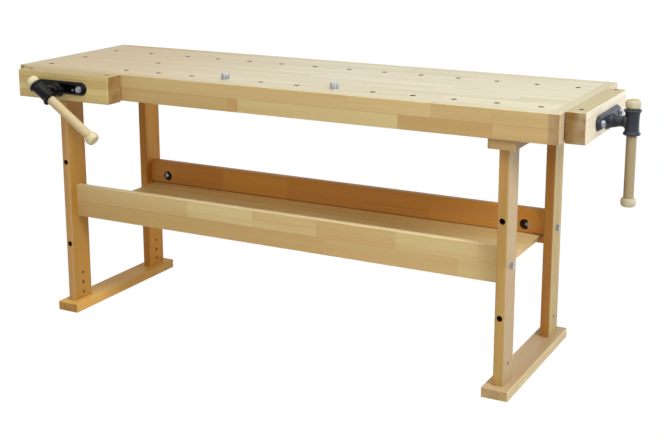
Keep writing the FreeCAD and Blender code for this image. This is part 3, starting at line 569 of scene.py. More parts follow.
# the bars' darker colours than their knobs paint the shade on the bars, most of all on the end
# vise
for name, turn, bar_colours, knob_colours in (
    ("front", (0, handle_tilt, 0), ("CEBA92", "BDA476"), ("D9CCA3", "C6B583")),
    ("end", None, ("A28E6B", "8B7650"), ("BEB391", "A4936E")),
):
    handle_wood = dict(
        seed=12.0, contrast=0.2, blush=0.08, rings=0.2, end_tone="A98B5E", turn=turn, rough=0.5
    )
    knob_beech[name] = beech(f"beech_{name}_knob", knob_colours, "ZX", **handle_wood)
    bar_beech = beech(f"beech_{name}_bar", bar_colours, "ZX", **handle_wood)
    wear(bar_beech, f"{name}_handle_bar")
    wear(knob_beech[name], f"{name}_handle_knobs")
print("measured pieces in beech:", len(dressed))

# %% [markdown]
# ## Paint and steel
#
# The castings are dipped in thick paint that rounds every edge and lies a little uneven,
# like orange peel: glossy black on the front vise and a duller charcoal on the end vise.
# The bolts are zinc plated, with cloudy patches, and the rods and dogs are bare turned steel
# whose fine rings run round them. One noise for each of these marks is enough, because they
# are far smaller than the pieces, and none of them has to meet at an edge.


# %% The paint recipe
def casting_paint(name, colour, dust, rough, shine):
    recipe = Recipe(bpy.data.materials.new(name))
    spot = recipe.coordinates()
    peel = recipe.noise(spot, 420.0, 2.0)
    sand = recipe.noise(spot, 1500.0, 2.0)
    cloud = recipe.noise(spot, 30.0, 3.0)
    return recipe.surface(
        {
            "Base Color": recipe.blend(cloud.ease(0.45, 0.75) * 0.5, colour, dust),
            "Roughness": cloud * 0.16 + rough,
            "Normal": recipe.bump(peel + sand * 0.3, 0.2, 0.0003),
            "Specular IOR Level": shine,
        }
    )


black_paint = casting_paint("black_casting_paint", "040405", "09090B", 0.1, 0.14)
charcoal_paint = casting_paint("charcoal_casting_paint", "232429", "303036", 0.36, 0.3)
print("paints:", black_paint.name, charcoal_paint.name)


# %% The metal recipe
def steel(name, colour, shadow, rough, lines, axis="X"):
    """Metal with cloudy patches, and with fine lines across an axis."""
    recipe = Recipe(bpy.data.materials.new(name))
    spot = recipe.coordinates()
    length = recipe.parts(spot)["XYZ".index(axis)]
    cloud = recipe.noise(spot, 90.0, 4.0)
    turning = recipe.noise(recipe.vector(length * lines, 0.0, 0.0), 1.0, 3.0)
    return recipe.surface(
        {
            "Base Color": recipe.blend(cloud.ease(0.4, 0.7) * 0.6, colour, shadow),
            "Metallic": 1.0,
            "Roughness": cloud * 0.15 + turning * 0.1 + rough,
            "Normal": recipe.bump(turning, 0.15, 0.0002),
        }
    )


zinc = steel("zinc_plate", "A9ADB4", "7F848C", 0.24, 900.0)
turned_steel_x = steel("turned_steel_lengthwise", "C6C8CA", "9FA2A6", 0.2, 2500.0, "X")
turned_steel_y = steel("turned_steel_crosswise", "C6C8CA", "9FA2A6", 0.2, 2500.0, "Y")
dog_steel = steel("dog_steel", "B4B7BC", "85898F", 0.2, 2500.0, "Z")
brass = steel("insert_brass", "C9A557", "9C7A37", 0.25, 1500.0, "Z")
print("nodes in the zinc:", len(zinc.node_tree.nodes))

# %% Paint the castings and plate the bolts
wear(zinc, "stretcher_bolts", "stretcher_washers", "stretcher_saddles", "stretcher_nuts")
wear(zinc, "bearer_bolts", "bearer_washers", "cleat_screws")
wear(brass, "bearer_inserts")
wear(dog_steel, "left_bench_dog", "right_bench_dog")
for name, paint, rod_steel in (
    ("front", black_paint, turned_steel_y),
    ("end", charcoal_paint, turned_steel_x),
):
    wear(paint, f"{name}_vise_flange", f"{name}_screw_head", f"{name}_nut_bracket")
    wear(rod_steel, f"{name}_guide_rods", f"{name}_vise_screw", f"{name}_thrust_collar")
    wear(rod_steel, f"{name}_head_pin")
    wear(zinc, f"{name}_flange_screws", f"{name}_flange_bolts", f"{name}_bracket_screws")
print("measured pieces dressed:", len(dressed), "of", len(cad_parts))

# %% [markdown]
# ## Working on one piece at a time
#
# Blender's edit tools act on all that is selected, and the loaded bench starts out selected.
# A few small helpers keep things apart: one leaves a single piece selected, one enters edit
# mode and leaves it again, one selects faces, edges or corners by where they lie or face, and
# one adds a modifier and makes it part of the mesh at once.


# %% Select, edit and finish a piece
def only(piece):
    """Leaves one piece selected, and makes it the active one."""
    bpy.ops.object.select_all(action="DESELECT")
    piece.select_set(True)
    bpy.context.view_layer.objects.active = piece
    return piece


@contextmanager
def editing():
    """Works in edit mode on the active piece."""
    bpy.ops.object.mode_set(mode="EDIT")
    yield
    bpy.ops.object.mode_set(mode="OBJECT")


def pick(kind, test):
    """In edit mode, selects the faces, edges or corners that pass a test."""
    bpy.ops.mesh.select_mode(type=kind)
    bpy.ops.mesh.select_all(action="DESELECT")
    mesh = bpy.context.edit_object.data
    shape = bmesh.from_edit_mesh(mesh)
    for part in {"FACE": shape.faces, "EDGE": shape.edges, "VERT": shape.verts}[kind]:
        if test(part):
            part.select_set(True)
    shape.select_flush_mode()
    bmesh.update_edit_mesh(mesh)


def finish_with(piece, kind, **settings):
    """Adds one modifier to a piece and applies it."""
    only(piece)
    change = piece.modifiers.new(kind.lower(), kind)
    for key, value in settings.items():
        setattr(change, key, value)
    bpy.ops.object.modifier_apply(modifier=change.name)
    return piece


# %% Weld, trim and join
def weld():
    """In edit mode, merges corners that meet, and turns every face outwards."""
    bpy.ops.mesh.select_all(action="SELECT")
    bpy.ops.mesh.remove_doubles(threshold=0.00001)
    bpy.ops.mesh.normals_make_consistent(inside=False)


def trim(x, way):
    """In edit mode, cuts off what lies behind a place on the X axis, and closes the cut."""
    bpy.ops.mesh.select_all(action="SELECT")
    bpy.ops.mesh.bisect(
        plane_co=(x, 0, 0), plane_no=(way, 0, 0), clear_inner=True, use_fill=True
    )


def joined(name, pieces):
    """Makes one piece of several, without cutting them."""
    only(pieces[0])
    for piece in pieces[1:]:
        piece.select_set(True)
    bpy.ops.object.join()
    pieces[0].name = name
    return pieces[0]


def smooth(piece, angle=35):
    """Rounds the shading of a piece, but not across its sharp edges."""
    only(piece)
    bpy.ops.object.shade_smooth_by_angle(angle=math.radians(angle))
    return piece


# %% Start shapes, and cutting one with another
def settle():
    """Moves the active piece's place, turn and scale into its mesh."""
    bpy.ops.object.transform_apply(location=True, rotation=True, scale=True)
    return bpy.context.object


def rod(radius, start, end, sides=64):
    """A cylinder between two points."""
    bpy.ops.object.select_all(action="DESELECT")
    start, end = Vector(start), Vector(end)
    bpy.ops.mesh.primitive_cylinder_add(
        vertices=sides,
        radius=radius,
        depth=(end - start).length,
        location=(start + end) / 2,
        rotation=(end - start).to_track_quat("Z", "Y").to_euler(),
    )
    return settle()


def block(low, high):
    """A box between its lowest and highest corners."""
    bpy.ops.object.select_all(action="DESELECT")
    low, high = Vector(low), Vector(high)
    bpy.ops.mesh.primitive_cube_add(size=1, location=(low + high) / 2, scale=high - low)
    return settle()


def carve(piece, tools, how="DIFFERENCE"):
    """Cuts a piece with others, or keeps what they share, and uses the others up."""
    for tool in tools:
        finish_with(piece, "BOOLEAN", operation=how, object=tool, solver="EXACT")
        bpy.data.objects.remove(tool)
    return piece


# %% A lathe
def draw(name, outline):
    """An open line of edges through points of (place along X, radius)."""
    bpy.ops.object.select_all(action="DESELECT")
    bpy.ops.mesh.primitive_plane_add(size=0.01)
    line = bpy.context.object
    line.name = name
    with editing():
        bpy.ops.mesh.select_mode(type="VERT")
        bpy.ops.mesh.merge(type="CENTER")
        x, radius = outline[0]
        bpy.ops.transform.translate(value=(x, 0, radius))
        for next_x, next_radius in outline[1:]:
            step = (next_x - x, 0, next_radius - radius)
            bpy.ops.mesh.extrude_vertices_move(TRANSFORM_OT_translate={"value": step})
            x, radius = next_x, next_radius
    return line


def turned(name, outline, steps=64):
    """Spins an outline round the X axis."""
    piece = draw(name, outline)
    with editing():
        bpy.ops.mesh.select_all(action="SELECT")
        bpy.ops.mesh.spin(steps=steps, angle=math.tau, center=(0, 0, 0), axis=(1, 0, 0))
        weld()
    return smooth(piece)


def arc(middle, radius, start, end, steps=6):
    """Points of an outline on part of a circle, with its angles in degrees."""
    turns = [math.radians(start + (end - start) * i / steps) for i in range(steps + 1)]
    return [(middle[0] + radius * math.cos(t), middle[1] + radius * math.sin(t)) for t in turns]


# %% A foundry
def cast(name, shapes, grain=0.0009, softness=4):
    """Melts shapes that overlap into one casting with soft inner corners."""
    casting = joined(name, shapes)
    finish_with(casting, "REMESH", mode="VOXEL", voxel_size=grain, use_smooth_shade=True)
    return finish_with(casting, "SMOOTH", factor=0.5, iterations=softness)


# %% Put a finished piece where it belongs
fitted = []


def fit(model, name, place, body, node, finish):
    """A copy with its own mesh that rides on a body and stands for a measured piece."""
    material, slot = finish
    piece = model.copy()
    piece.data = model.data.copy()
    piece.data.transform(place)
    piece.name = name
    bpy.context.scene.collection.objects.link(piece)
    piece.data.materials.clear()
    piece.data.materials.append(material)
    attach(piece, body)
    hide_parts(node)
    fitted.append(name)
    return piece


def move(x, y, z):
    return Matrix.Translation((x, y, z))


def swing(degrees, axis):
    return Matrix.Rotation(math.radians(degrees), 4, axis)


def middle_of(node):
    low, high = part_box(node)
    return (Vector(low) + Vector(high)) / 2


# %% [markdown]
# ## Where the vises are
#
# Both vises have the same castings, so each piece is made once, in a small frame of its own:
# X points out of the jaw, Y runs along it, Z is up, and the screw's axis is the X axis. The
# handle points straight up there. One turn and one move then bring it to each vise, and the
# parts that follow the front screw are also turned a little round it first, because its
# handle hangs at a slant.

# %% Find both vises
front_axis, end_axis = middle_of("front_vise_screw"), middle_of("end_vise_screw")
front_face, end_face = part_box("front_jaw")[0].y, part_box("end_jaw")[1].x
front_place = move(front_axis.x, front_face, front_axis.z) @ swing(-90, "Z")
end_place = move(end_face, end_axis.y, end_axis.z)
vises = {
    "front": SimpleNamespace(
        place=front_place,
        screw_place=front_place @ Matrix.Rotation(handle_tilt, 4, "X"),
        casting=(black_paint, "black_casting"),
        steel=(turned_steel_y, "turned_steel"),
    ),
    "end": SimpleNamespace(
        place=end_place,
        screw_place=end_place,
        casting=(charcoal_paint, "dark_casting"),
        steel=(turned_steel_x, "turned_steel"),
    ),
}
zinc_finish = (zinc, "zinc_steel")
for name, vise in vises.items():
    print(name, "vise at", tuple(round(v, 4) for v in vise.place.translation))

# %% [markdown]
# ## The face plate
#
# The face plate is a casting: a long plate with round ends, a raised body on it, a round
# boss for each bolt, and a hub in the middle that flares down to the plate between two
# ribs. Such a thing could be cut out of one block, but its inner corners would stay sharp.
# Here its simple shapes are made to overlap and are then melted into one skin, which leaves
# the small soft fillets that molten iron has. The melt also makes the back uneven, so the
# shapes start a little behind it and a flat cut gives the back its true face.

# %% Sizes of the face plate
plate_length, plate_height, plate_rim, plate_back = 0.248, 0.045, 0.006, -0.004
body_inset, body_front, boss_front = 0.004, 0.012, 0.0135
rod_lift, rod_reach = 0.007, 0.101
plate_screw_lift, plate_screw_reach = 0.003, 0.073
hub_foot, hub_tip, hub_front = 0.028, 0.021, 0.025
print("face plate:", plate_length, "long,", plate_height, "high, hub", hub_front, "deep")


# %% A long plate with round ends
def long_plate(length, height, front, bevel):
    """A cylinder whose halves are pulled apart, with its front edge rounded."""
    plate = rod(height / 2, (plate_back, 0, rod_lift), (front, 0, rod_lift), sides=66)
    with editing():
        for side in (-1, 1):
            pick("VERT", lambda corner: corner.co.y * side > 0)
            bpy.ops.transform.translate(value=(0, side * (length - height) / 2, 0))
        pick("FACE", lambda face: face.normal.x > 0.9)
        bpy.ops.mesh.bevel(offset=bevel, segments=4, affect="EDGES")
    return plate


# %% The plate, its bosses and its ribs
plate_shapes = [
    long_plate(plate_length, plate_height, plate_rim, 0.0022),
    long_plate(plate_length - 2 * body_inset, plate_height - 2 * body_inset, body_front, 0.003),
]
for side in (-1, 1):
    boss = [
        (plate_back, 0), (plate_back, 0.0175), (0.006, 0.0175), (0.0116, 0.016),
        *arc((boss_front - 0.0012, 0.0146), 0.0012, 75, 0, 4), (boss_front, 0),
    ]
    turned("bolt_boss", boss)
    bpy.ops.transform.translate(value=(0, side * rod_reach, rod_lift))
    plate_shapes.append(settle())

ribs = block((plate_back, -0.056, -0.0015), (0.021, 0.056, 0.0085))
rib_middle = (0, 0, 0.0035)
with editing():
    pick("VERT", lambda corner: corner.co.x > 0)
    bpy.ops.transform.resize(value=(1, 0.36, 0.7), center_override=rib_middle)
plate_shapes.append(ribs)
print("shapes for the face plate:", len(plate_shapes))

# %% The hub, the melt and the bores
hub_outline = [
    (plate_back, 0), (plate_back, hub_foot), (0.005, hub_foot), (0.0075, 0.0262),
    (0.0105, 0.0242), (0.014, 0.0226), (0.0165, 0.0216), (0.0172, 0.0222), (0.0178, 0.0224),
    (0.0184, 0.0222), (0.019, hub_tip),
    *arc((hub_front - 0.0018, hub_tip - 0.0018), 0.0018, 90, 0, 4), (hub_front, 0),
]
hub = turned("face_plate_hub", hub_outline)
face_plate = cast("face_plate", plate_shapes + [hub])
with editing():
    trim(0, 1)

screw_hole = rod(0.01212, (-0.01, 0, 0), (0.04, 0, 0))
bolt_holes = [
    rod(0.0055, (-0.01, y, rod_lift), (0.03, y, rod_lift), 32) for y in (-rod_reach, rod_reach)
]
screw_seats = [
    rod(0.0054, (0.0114, y, plate_screw_lift), (0.03, y, plate_screw_lift), 32)
    for y in (-plate_screw_reach, plate_screw_reach)
]
carve(face_plate, bolt_holes + screw_seats + [screw_hole])
smooth(face_plate, 50)
print("face plate faces:", len(face_plate.data.polygons))

for name, vise in vises.items():
    fit(
        face_plate, f"{name}_face_plate", vise.place, f"{name}_jaw", f"{name}_vise_flange",
        vise.casting,
    )

# %% [markdown]
# ## The screw head
#
# The head is a second casting. A neck with a shoulder and two fine rings grips the screw,
# and a cross sleeve with a thick rounded collar at each end holds the wooden bar. Both are
# bodies of revolution, so both come off the lathe, are melted together, and then get clean
# bores for the bar and for the screw, since a foundry bores those after casting too.

# %% Turn the neck
neck_start, sleeve_reach = 0.0254, 0.076
neck_outline = [
    (neck_start, 0), (neck_start, 0.0185),
    *arc((neck_start + 0.0015, 0.0185), 0.0015, 180, 90, 3),
    *arc((neck_start + 0.0045, 0.0185), 0.0015, 90, 0, 3),
    (0.0322, 0.0172), (0.0345, 0.0168), (0.0348, 0.0176), (0.0358, 0.0179), (0.0368, 0.0176),
    (0.0371, 0.0166), (0.046, 0.0164), (0.05, 0.0172), (0.0525, 0.0185), (0.055, 0.0205),
    (0.062, 0.0205), (0.062, 0),
]
neck = turned("neck", neck_outline)
print("neck faces:", len(neck.data.polygons))

# %% Turn the sleeve
half_sleeve, collar_radius = 0.0395, 0.0264
right_half = [
    (0.01, 0.0209), (0.02, 0.0213), (0.0275, 0.022), (0.0298, 0.0228),
    *arc((half_sleeve - 0.0048, collar_radius - 0.0042), 0.0042, 150, 0, 8),
    (half_sleeve - 0.0002, 0.02), (half_sleeve - 0.0002, 0),
]
left_half = [(-x, radius) for x, radius in reversed(right_half)]
sleeve = turned("sleeve", left_half + [(0, 0.0208)] + right_half)
sleeve.data.transform(move(sleeve_reach, 0, 0) @ swing(90, "Y"))
print("sleeve faces:", len(sleeve.data.polygons))

# %% Melt them, then bore them
screw_head = cast("screw_head", [neck, sleeve], 0.0008, 3)
bar_bore = rod(0.016, (sleeve_reach, 0, -0.06), (sleeve_reach, 0, 0.06), 96)
screw_bore = rod(0.01205, (0.0, 0, 0), (0.054, 0, 0), 64)
carve(screw_head, [bar_bore, screw_bore])
smooth(screw_head, 50)
print("screw head faces:", len(screw_head.data.polygons))

for name, vise in vises.items():
    fit(
        screw_head, f"{name}_cross_head", vise.screw_place, f"{name}_screw",
        f"{name}_screw_head", vise.casting,
    )

# %% [markdown]
# ## The wooden knobs
#
# Each bar ends in a turned beech knob: a short barrel, hardly swollen, with a soft shoulder
# and a nearly flat end. A cylinder with a bevel would look like a button, so the outline is
# drawn point by point, as a turner reads it from a template.

# %% Turn a knob, and put one on each end of both bars
knob_outline = [
    (0, 0), (0, 0.0148), (0.0006, 0.0158), (0.0022, 0.0186), (0.004, 0.0212),
    (0.0062, 0.0222), (0.01, 0.0228), (0.014, 0.023), (0.018, 0.0228), (0.0215, 0.0221),
    (0.024, 0.021), (0.0258, 0.0194), (0.027, 0.0174), (0.0276, 0.015), (0.0278, 0.011),
    (0.0278, 0.0104), (0.0274, 0.01), (0.0274, 0.0096), (0.0279, 0.0092), (0.028, 0.005),
    (0.028, 0),
]
knob = turned("knob", knob_outline, steps=96)

half_bar, bar_drop = 0.135, 0.0952
for name, vise in vises.items():
    for end, side in (("upper", 1), ("lower", -1)):
        bar_end = move(sleeve_reach, 0, side * half_bar - bar_drop)
        fit(
            knob, f"{name}_{end}_knob", vise.screw_place @ bar_end @ swing(-90 * side, "Y"),
            f"{name}_handle", f"{name}_handle_knobs", (knob_beech[name], "handle_beech"),
        )
print("knobs:", [name for name in fitted if "_knob" in name])

# %% [markdown]
# ## Bolts, washers and nuts
#
# A plain hexagon looks like a toy. A real bolt head is a hexagon that a lathe has touched:
# its corners are cut back to a circle, which leaves an arc on every side, and its middle is
# dished by the forging punch. Intersecting a hexagon with a turned disc gives exactly that.


# %% A hexagon with turned corners
def hexagon(across, height, both_ends=False):
    """A bolt head or nut that stands on X = 0 and rises along X."""
    corner = across / math.sqrt(3)
    drop = (corner - across / 2) * 0.75
    blank = rod(corner, (0, 0, 0), (height + 0.0002, 0, 0), 6)
    outline = [(-0.0001, 0), (-0.0001, corner * 1.02), (height - drop, corner * 1.02)]
    if both_ends:
        outline = [(-0.0001, 0), (-0.0001, across * 0.475), (drop, corner * 1.02), outline[2]]
    outline += [(height, across * 0.475), (height, 0)]
    return carve(blank, [turned("corner_cut", outline, 48)], "INTERSECT")


# %% A bolt with its washer
washer_thickness = 0.002


def steel_bolt(name, radius, across, height, washer, hole, length):
    """A bolt along X with its washer, whose back is at X = 0."""
    head = hexagon(across, height)
    with editing():
        top = height * 0.9
        pick("FACE", lambda face: face.normal.x > 0.99 and face.calc_center_median().x > top)
        for border, depth in ((0.12, 0), (0.06, -0.045), (0.12, -0.01)):
            bpy.ops.mesh.inset(thickness=across * border, depth=across * depth)
    head.data.transform(move(washer_thickness, 0, 0))
    edge = washer_thickness * 0.2
    ring = [
        (0, hole), (0, washer), (washer_thickness - edge, washer),
        (washer_thickness, washer - edge), (washer_thickness, hole), (0, hole),
    ]
    inside_head = washer_thickness + 0.0005
    shank = [
        (inside_head, 0), (inside_head, radius), (0.0012 - length, radius),
        (-length, radius - 0.0012), (-length, 0),
    ]
    parts = [head, turned("washer", ring, 48), turned("shank", shank, 32)]
    return smooth(joined(name, parts), 25)


# %% The bolts of the face plates
m10 = dict(radius=0.0049, across=0.017, height=0.0064, washer=0.011)
plate_bolt = steel_bolt("plate_bolt", hole=0.005, length=0.0425, **m10)
for name, vise in vises.items():
    for side, y in (("left", -rod_reach), ("right", rod_reach)):
        spot = vise.place @ move(boss_front, y, rod_lift)
        fit(
            plate_bolt, f"{name}_{side}_plate_bolt", spot, f"{name}_jaw",
            f"{name}_flange_bolts", zinc_finish,
        )
print("plate bolt faces:", len(plate_bolt.data.polygons))

# %% The bolts through the legs
nut_height = 0.008
leg_bolt = steel_bolt("leg_bolt", hole=0.0055, length=0.1025, **m10)
leg_nut = hexagon(m10["across"], nut_height, both_ends=True)
carve(leg_nut, [rod(0.00502, (-0.01, 0, 0), (0.02, 0, 0), 32)])
smooth(leg_nut, 25)
bolt_low, bolt_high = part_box("stretcher_washers")
nut_low, nut_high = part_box("stretcher_nuts")
bolt_height = middle_of("stretcher_washers").z
front_y, rear_y = bolt_low.y + m10["washer"], bolt_high.y - m10["washer"]
for side, way, x, nut_x, turn in (
    ("left", -1, bolt_low.x, nut_low.x, swing(180, "Z")),
    ("right", 1, bolt_high.x, nut_high.x, swing(0, "Z")),
):
    for row, y in (("front", front_y), ("rear", rear_y)):
        spot = move(x - way * washer_thickness, y, bolt_height) @ turn
        name = f"{row}_{side}_leg_bolt"
        bolt = fit(leg_bolt, name, spot, "bench", "stretcher_bolts", zinc_finish)
        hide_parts("stretcher_washers")
        spot = move(nut_x - way * nut_height, y, bolt_height) @ turn
        name = f"{row}_{side}_leg_nut"
        fit(leg_nut, name, spot, "bench", "stretcher_nuts", zinc_finish)
print("leg bolts at a height of", round(bolt_height, 4))

# %% The bolts that hold the top
m8 = dict(radius=0.0039, across=0.013, height=0.0053, washer=0.009)
top_bolt = steel_bolt("top_bolt", hole=0.0045, length=0.0599, **m8)
low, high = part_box("bearer_washers")
point_down = swing(90, "Y")
for side, x in (("left", low.x + m8["washer"]), ("right", high.x - m8["washer"])):
    for row, y in (("front", low.y + m8["washer"]), ("rear", high.y - m8["washer"])):
        spot = move(x, y, high.z) @ point_down
        name = f"{row}_{side}_top_bolt"
        bolt = fit(top_bolt, name, spot, "bench", "bearer_bolts", zinc_finish)
        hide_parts("bearer_washers")
print("bolts and nuts:", len([name for name in fitted if name.endswith(("_bolt", "_nut"))]))

# %% [markdown]
# ## Wood screws
#
# The screws are countersunk, with a cross recess. The recess is what the eye finds at this
# size, so it is really cut in, with a blade-shaped tool used twice. The thread stays in the
# wood and is left out.

# %% Make one screw
recess_depth, recess_turn, head_radius = 0.0024, 0.5, 0.005


def wood_screw(name, length):
    """A countersunk screw along X whose flat head lies at X = 0."""
    outline = [
        (0, 0), (0, 0.0049), (-0.0003, head_radius), (-0.003, 0.0025),
        (-length * 0.8, 0.0025), (-length, 0.0006), (-length, 0),
    ]
    screw = turned(name, outline, 32)
    for turn in (0, math.pi / 2):
        blade = block((-recess_depth, -0.0026, -0.00055), (0.001, 0.0026, 0.00055))
        with editing():
            pick("FACE", lambda face: face.normal.x < -0.9)
            bpy.ops.transform.resize(value=(1, 0.35, 0.8))
        blade.data.transform(Matrix.Rotation(turn + recess_turn, 4, "X"))
        carve(screw, [blade])
    return smooth(screw, 25)


plate_screw, bracket_screw, cleat_screw = (
    wood_screw(f"{use}_screw", length)
    for use, length in (("plate", 0.040), ("bracket", 0.029), ("cleat", 0.034))
)
print("wood screw faces:", len(plate_screw.data.polygons))

# %% Screws of the face plates and the brackets
for name, vise in vises.items():
    for side, y in (("left", -plate_screw_reach), ("right", plate_screw_reach)):
        spot = vise.place @ move(body_front, y, plate_screw_lift)
        fit(
            plate_screw, f"{name}_{side}_plate_screw", spot, f"{name}_jaw",
            f"{name}_flange_screws", zinc_finish,
        )
    node = f"{name}_bracket_screws"
    low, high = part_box(node)
    corners = [
        (x, y)
        for x in (low.x + head_radius, high.x - head_radius)
        for y in (low.y + head_radius, high.y - head_radius)
    ]
    for number, (x, y) in enumerate(corners, 1):
        spot = move(x, y, low.z) @ point_down
        fit(bracket_screw, f"{name}_bracket_screw_{number}", spot, "bench", node, zinc_finish)
print("screws of the vises:", [name for name in fitted if "_screw" in name])

# %% Screws of the cleats
low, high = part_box("cleat_screws")
step = (high.x - low.x - 2 * head_radius) / 3
for row, y, turn in (
    ("front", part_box("front_shelf_cleat")[1].y, swing(90, "Z")),
    ("rear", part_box("rear_shelf_cleat")[0].y, swing(-90, "Z")),
):
    for number in range(4):
        spot = move(low.x + head_radius + step * number, y, (low.z + high.z) / 2) @ turn
        name = f"{row}_cleat_screw_{number + 1}"
        fit(cleat_screw, name, spot, "bench", "cleat_screws", zinc_finish)
print("wood screws:", len([name for name in fitted if "_screw" in name]))

# %% [markdown]
# ## The vise screws
#
# The screw has a square-shouldered thread with a pitch of 5 mm, which shows as soon as a
# vise is opened. One pitch of its outline is enough: the Screw modifier carries it round the
# axis and forward at once, turn after turn. Both ends of the helix are then cut off square
# and closed, and a plain shaft takes over where the screw passes the jaw.

# %% Wind the thread
pitch, crest, root = 0.005, 0.0119, 0.0098
thread_back, thread_front, shaft_front = -0.309, -0.082, 0.0539
start = thread_back - pitch
one_pitch = [
    (start, root), (start + 0.0017, root), (start + 0.0023, crest), (start + 0.0044, crest),
    (start + pitch, root),
]
thread = draw("thread", one_pitch)
turns = round((thread_front - thread_back) / pitch) + 2
finish_with(
    thread, "SCREW", axis="X", screw_offset=pitch, iterations=turns, steps=32, render_steps=32
)
with editing():
    weld()
    trim(thread_back, 1)
    trim(thread_front, -1)
print("thread turns:", turns, "faces:", len(thread.data.polygons))

# %% Join thread and shaft
shaft_outline = [
    (thread_front - 0.001, 0), (thread_front - 0.001, 0.0105), (thread_front, 0.012),
    (shaft_front, 0.012), (shaft_front, 0),
]
lead_screw = smooth(joined("vise_screw", [thread, turned("shaft", shaft_outline)]), 30)
for name, vise in vises.items():
    fit(
        lead_screw, f"{name}_lead_screw", vise.screw_place, f"{name}_screw",
        f"{name}_vise_screw", vise.steel,
    )
print("vise screw faces:", len(lead_screw.data.polygons))

# %% [markdown]
# ## The bench dogs
#
# A dog is a steel peg with a thicker head. One side of the head is cut flat to hold the work,
# and a shallow groove runs round the peg. The head is turned first and the flat is cut
# afterwards, so its edges are crisp, and a fine bevel lets them catch the light.

# %% Make a dog
dog_height, dog_radius, flat_at = 0.0195, 0.014, 0.0105
dog_outline = [
    (-0.075, 0), (-0.075, 0.008), (-0.0735, 0.0095), (-0.0245, 0.0095), (-0.024, 0.0088),
    (-0.022, 0.0088), (-0.0215, 0.0095), (0, 0.0095), (0, dog_radius - 0.0006),
    (0.0006, dog_radius), (dog_height - 0.0016, dog_radius),
    *arc((dog_height - 0.0014, dog_radius - 0.0014), 0.0014, 80, 0, 4), (dog_height, 0),
]
dog = turned("dog", dog_outline, 72)
dog.data.transform(swing(-90, "Y"))
carve(dog, [block((flat_at, -0.02, -0.001), (0.03, 0.02, 0.03))])
sharp = math.radians(50)
finish_with(dog, "BEVEL", width=0.0005, segments=2, limit_method="ANGLE", angle_limit=sharp)
smooth(dog, 30)
for side in ("left", "right"):
    node = f"{side}_bench_dog"
    low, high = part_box(node)
    spot = move(low.x + dog_radius, (low.y + high.y) / 2, high.z - dog_height)
    fit(dog, f"{side}_steel_dog", spot, f"{side}_dog", node, (dog_steel, "turned_steel"))
print("dog faces:", len(dog.data.polygons))

# %% [markdown]
# ## The brackets under the top
#
# Each vise runs in a cast bracket under the top. Its measured shape is right, but sharp, so
# it goes through the same melt as the other castings. A measured piece is never changed
# itself: a copy of it is made, its loose corners are merged, and the copy is softened.

# %% Soften the brackets, and clear the workbench
for name, vise in vises.items():
    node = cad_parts[f"{name}_nut_bracket"]
    rough = node.copy()
    rough.data = node.data.copy()
    bpy.context.scene.collection.objects.link(rough)
    only(rough)
    with editing():
        bpy.ops.mesh.select_all(action="SELECT")
        bpy.ops.mesh.remove_doubles(threshold=0.00001)
    softened = cast("softened", [rough], 0.0011, 3)
    piece_name, node_name = f"{name}_bearing_bracket", f"{name}_nut_bracket"
    fit(softened, piece_name, Matrix(), "bench", node_name, vise.casting)
    bpy.data.objects.remove(softened)

for model in (
    face_plate, screw_head, knob, plate_bolt, leg_bolt, leg_nut, top_bolt, plate_screw,
    bracket_screw, cleat_screw, lead_screw, dog,
):
    bpy.data.objects.remove(model)

# %% [markdown]
# ## The studio
#
# Four soft lamps light the bench: a cool one high on the right shapes the end faces, a big
# one overhead lights the top, one in front lights the aprons, and a cool one low behind the
# bench shows the far edges. The space under the top stays a little darker. The floor and
# the world could simply be lit until they are white, but then the wood would be washed out.
# So they show white to the camera and in reflections only, while the light that they give
# stays plain, and the floor keeps a little of the bench's soft shadow.


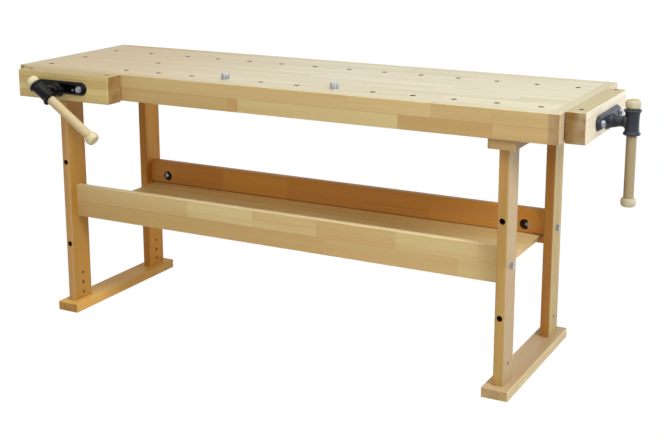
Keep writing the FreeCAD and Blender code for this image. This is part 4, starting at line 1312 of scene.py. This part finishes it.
# %% White for the camera and for reflections
def white_if_seen(recipe, plain, white, share):
    """A mix of two shaders that shows white where the camera looks or a mirror would."""
    camera_ray, glossy_ray, glass_ray = (
        recipe.node("ShaderNodeLightPath", out=f"Is {kind} Ray")
        for kind in ("Camera", "Glossy", "Transmission")
    )
    seen = camera_ray + glossy_ray + glass_ray
    return recipe.node("ShaderNodeMixShader", None, {0: seen * share, 1: plain, 2: white})


# %% Lay the floor
paper = Recipe(bpy.data.materials.new("studio_floor"))
plain = paper.node("ShaderNodeBsdfDiffuse", None, {"Color": tint("E6E4DF")})
white = paper.node("ShaderNodeEmission", None, {"Color": (1, 1, 1, 1), "Strength": 1.04})
white_paper = paper.close(white_if_seen(paper, plain, white, 0.97))

bpy.ops.object.select_all(action="DESELECT")
bpy.ops.mesh.primitive_plane_add(size=60, location=(0, 0, 0))
floor = bpy.context.object
floor.name = "studio_floor"
floor.data.materials.append(white_paper)
print("floor:", tuple(floor.dimensions))

# %% Fill the world with light
sky = Recipe(bpy.data.worlds.new("studio_world"))
dim_light = {"Color": (1, 0.985, 0.96, 1), "Strength": 0.18}
white_wall = {"Color": (1, 1, 1, 1), "Strength": 1.02}
plain = sky.node("ShaderNodeBackground", None, dim_light)
white = sky.node("ShaderNodeBackground", None, white_wall)
bpy.context.scene.world = sky.close(white_if_seen(sky, plain, white, 1.0), "World")
print("world:", bpy.context.scene.world.name)


# %% Hang the lamps
def soft_lamp(name, place, target, size, power, colour=(1, 1, 1)):
    """A square softbox that faces a point."""
    way = (Vector(target) - Vector(place)).to_track_quat("-Z", "Y").to_euler()
    bpy.ops.object.light_add(type="AREA", location=place, rotation=way)
    lamp = bpy.context.object
    lamp.name = name
    lamp.data.size = size
    lamp.data.energy = power
    lamp.data.color = colour
    print(name, "of", power, "watts")


cool = (0.86, 1.0, 1.22)
soft_lamp("side_softbox", (3.2, -1.3, 2.7), (0.4, 0, 0.6), 1.2, 103, cool)
soft_lamp("top_softbox", (0.2, -0.6, 3.6), (0, 0, 0.8), 2.6, 69)
soft_lamp("front_softbox", (-0.2, -4.3, 2.3), (0, 0, 0.5), 2.4, 51)
soft_lamp("back_softbox", (3.2, 3.0, 1.3), (0.7, 0, 0.6), 2.0, 58, cool)
bpy.context.scene.view_settings.view_transform = "Standard"
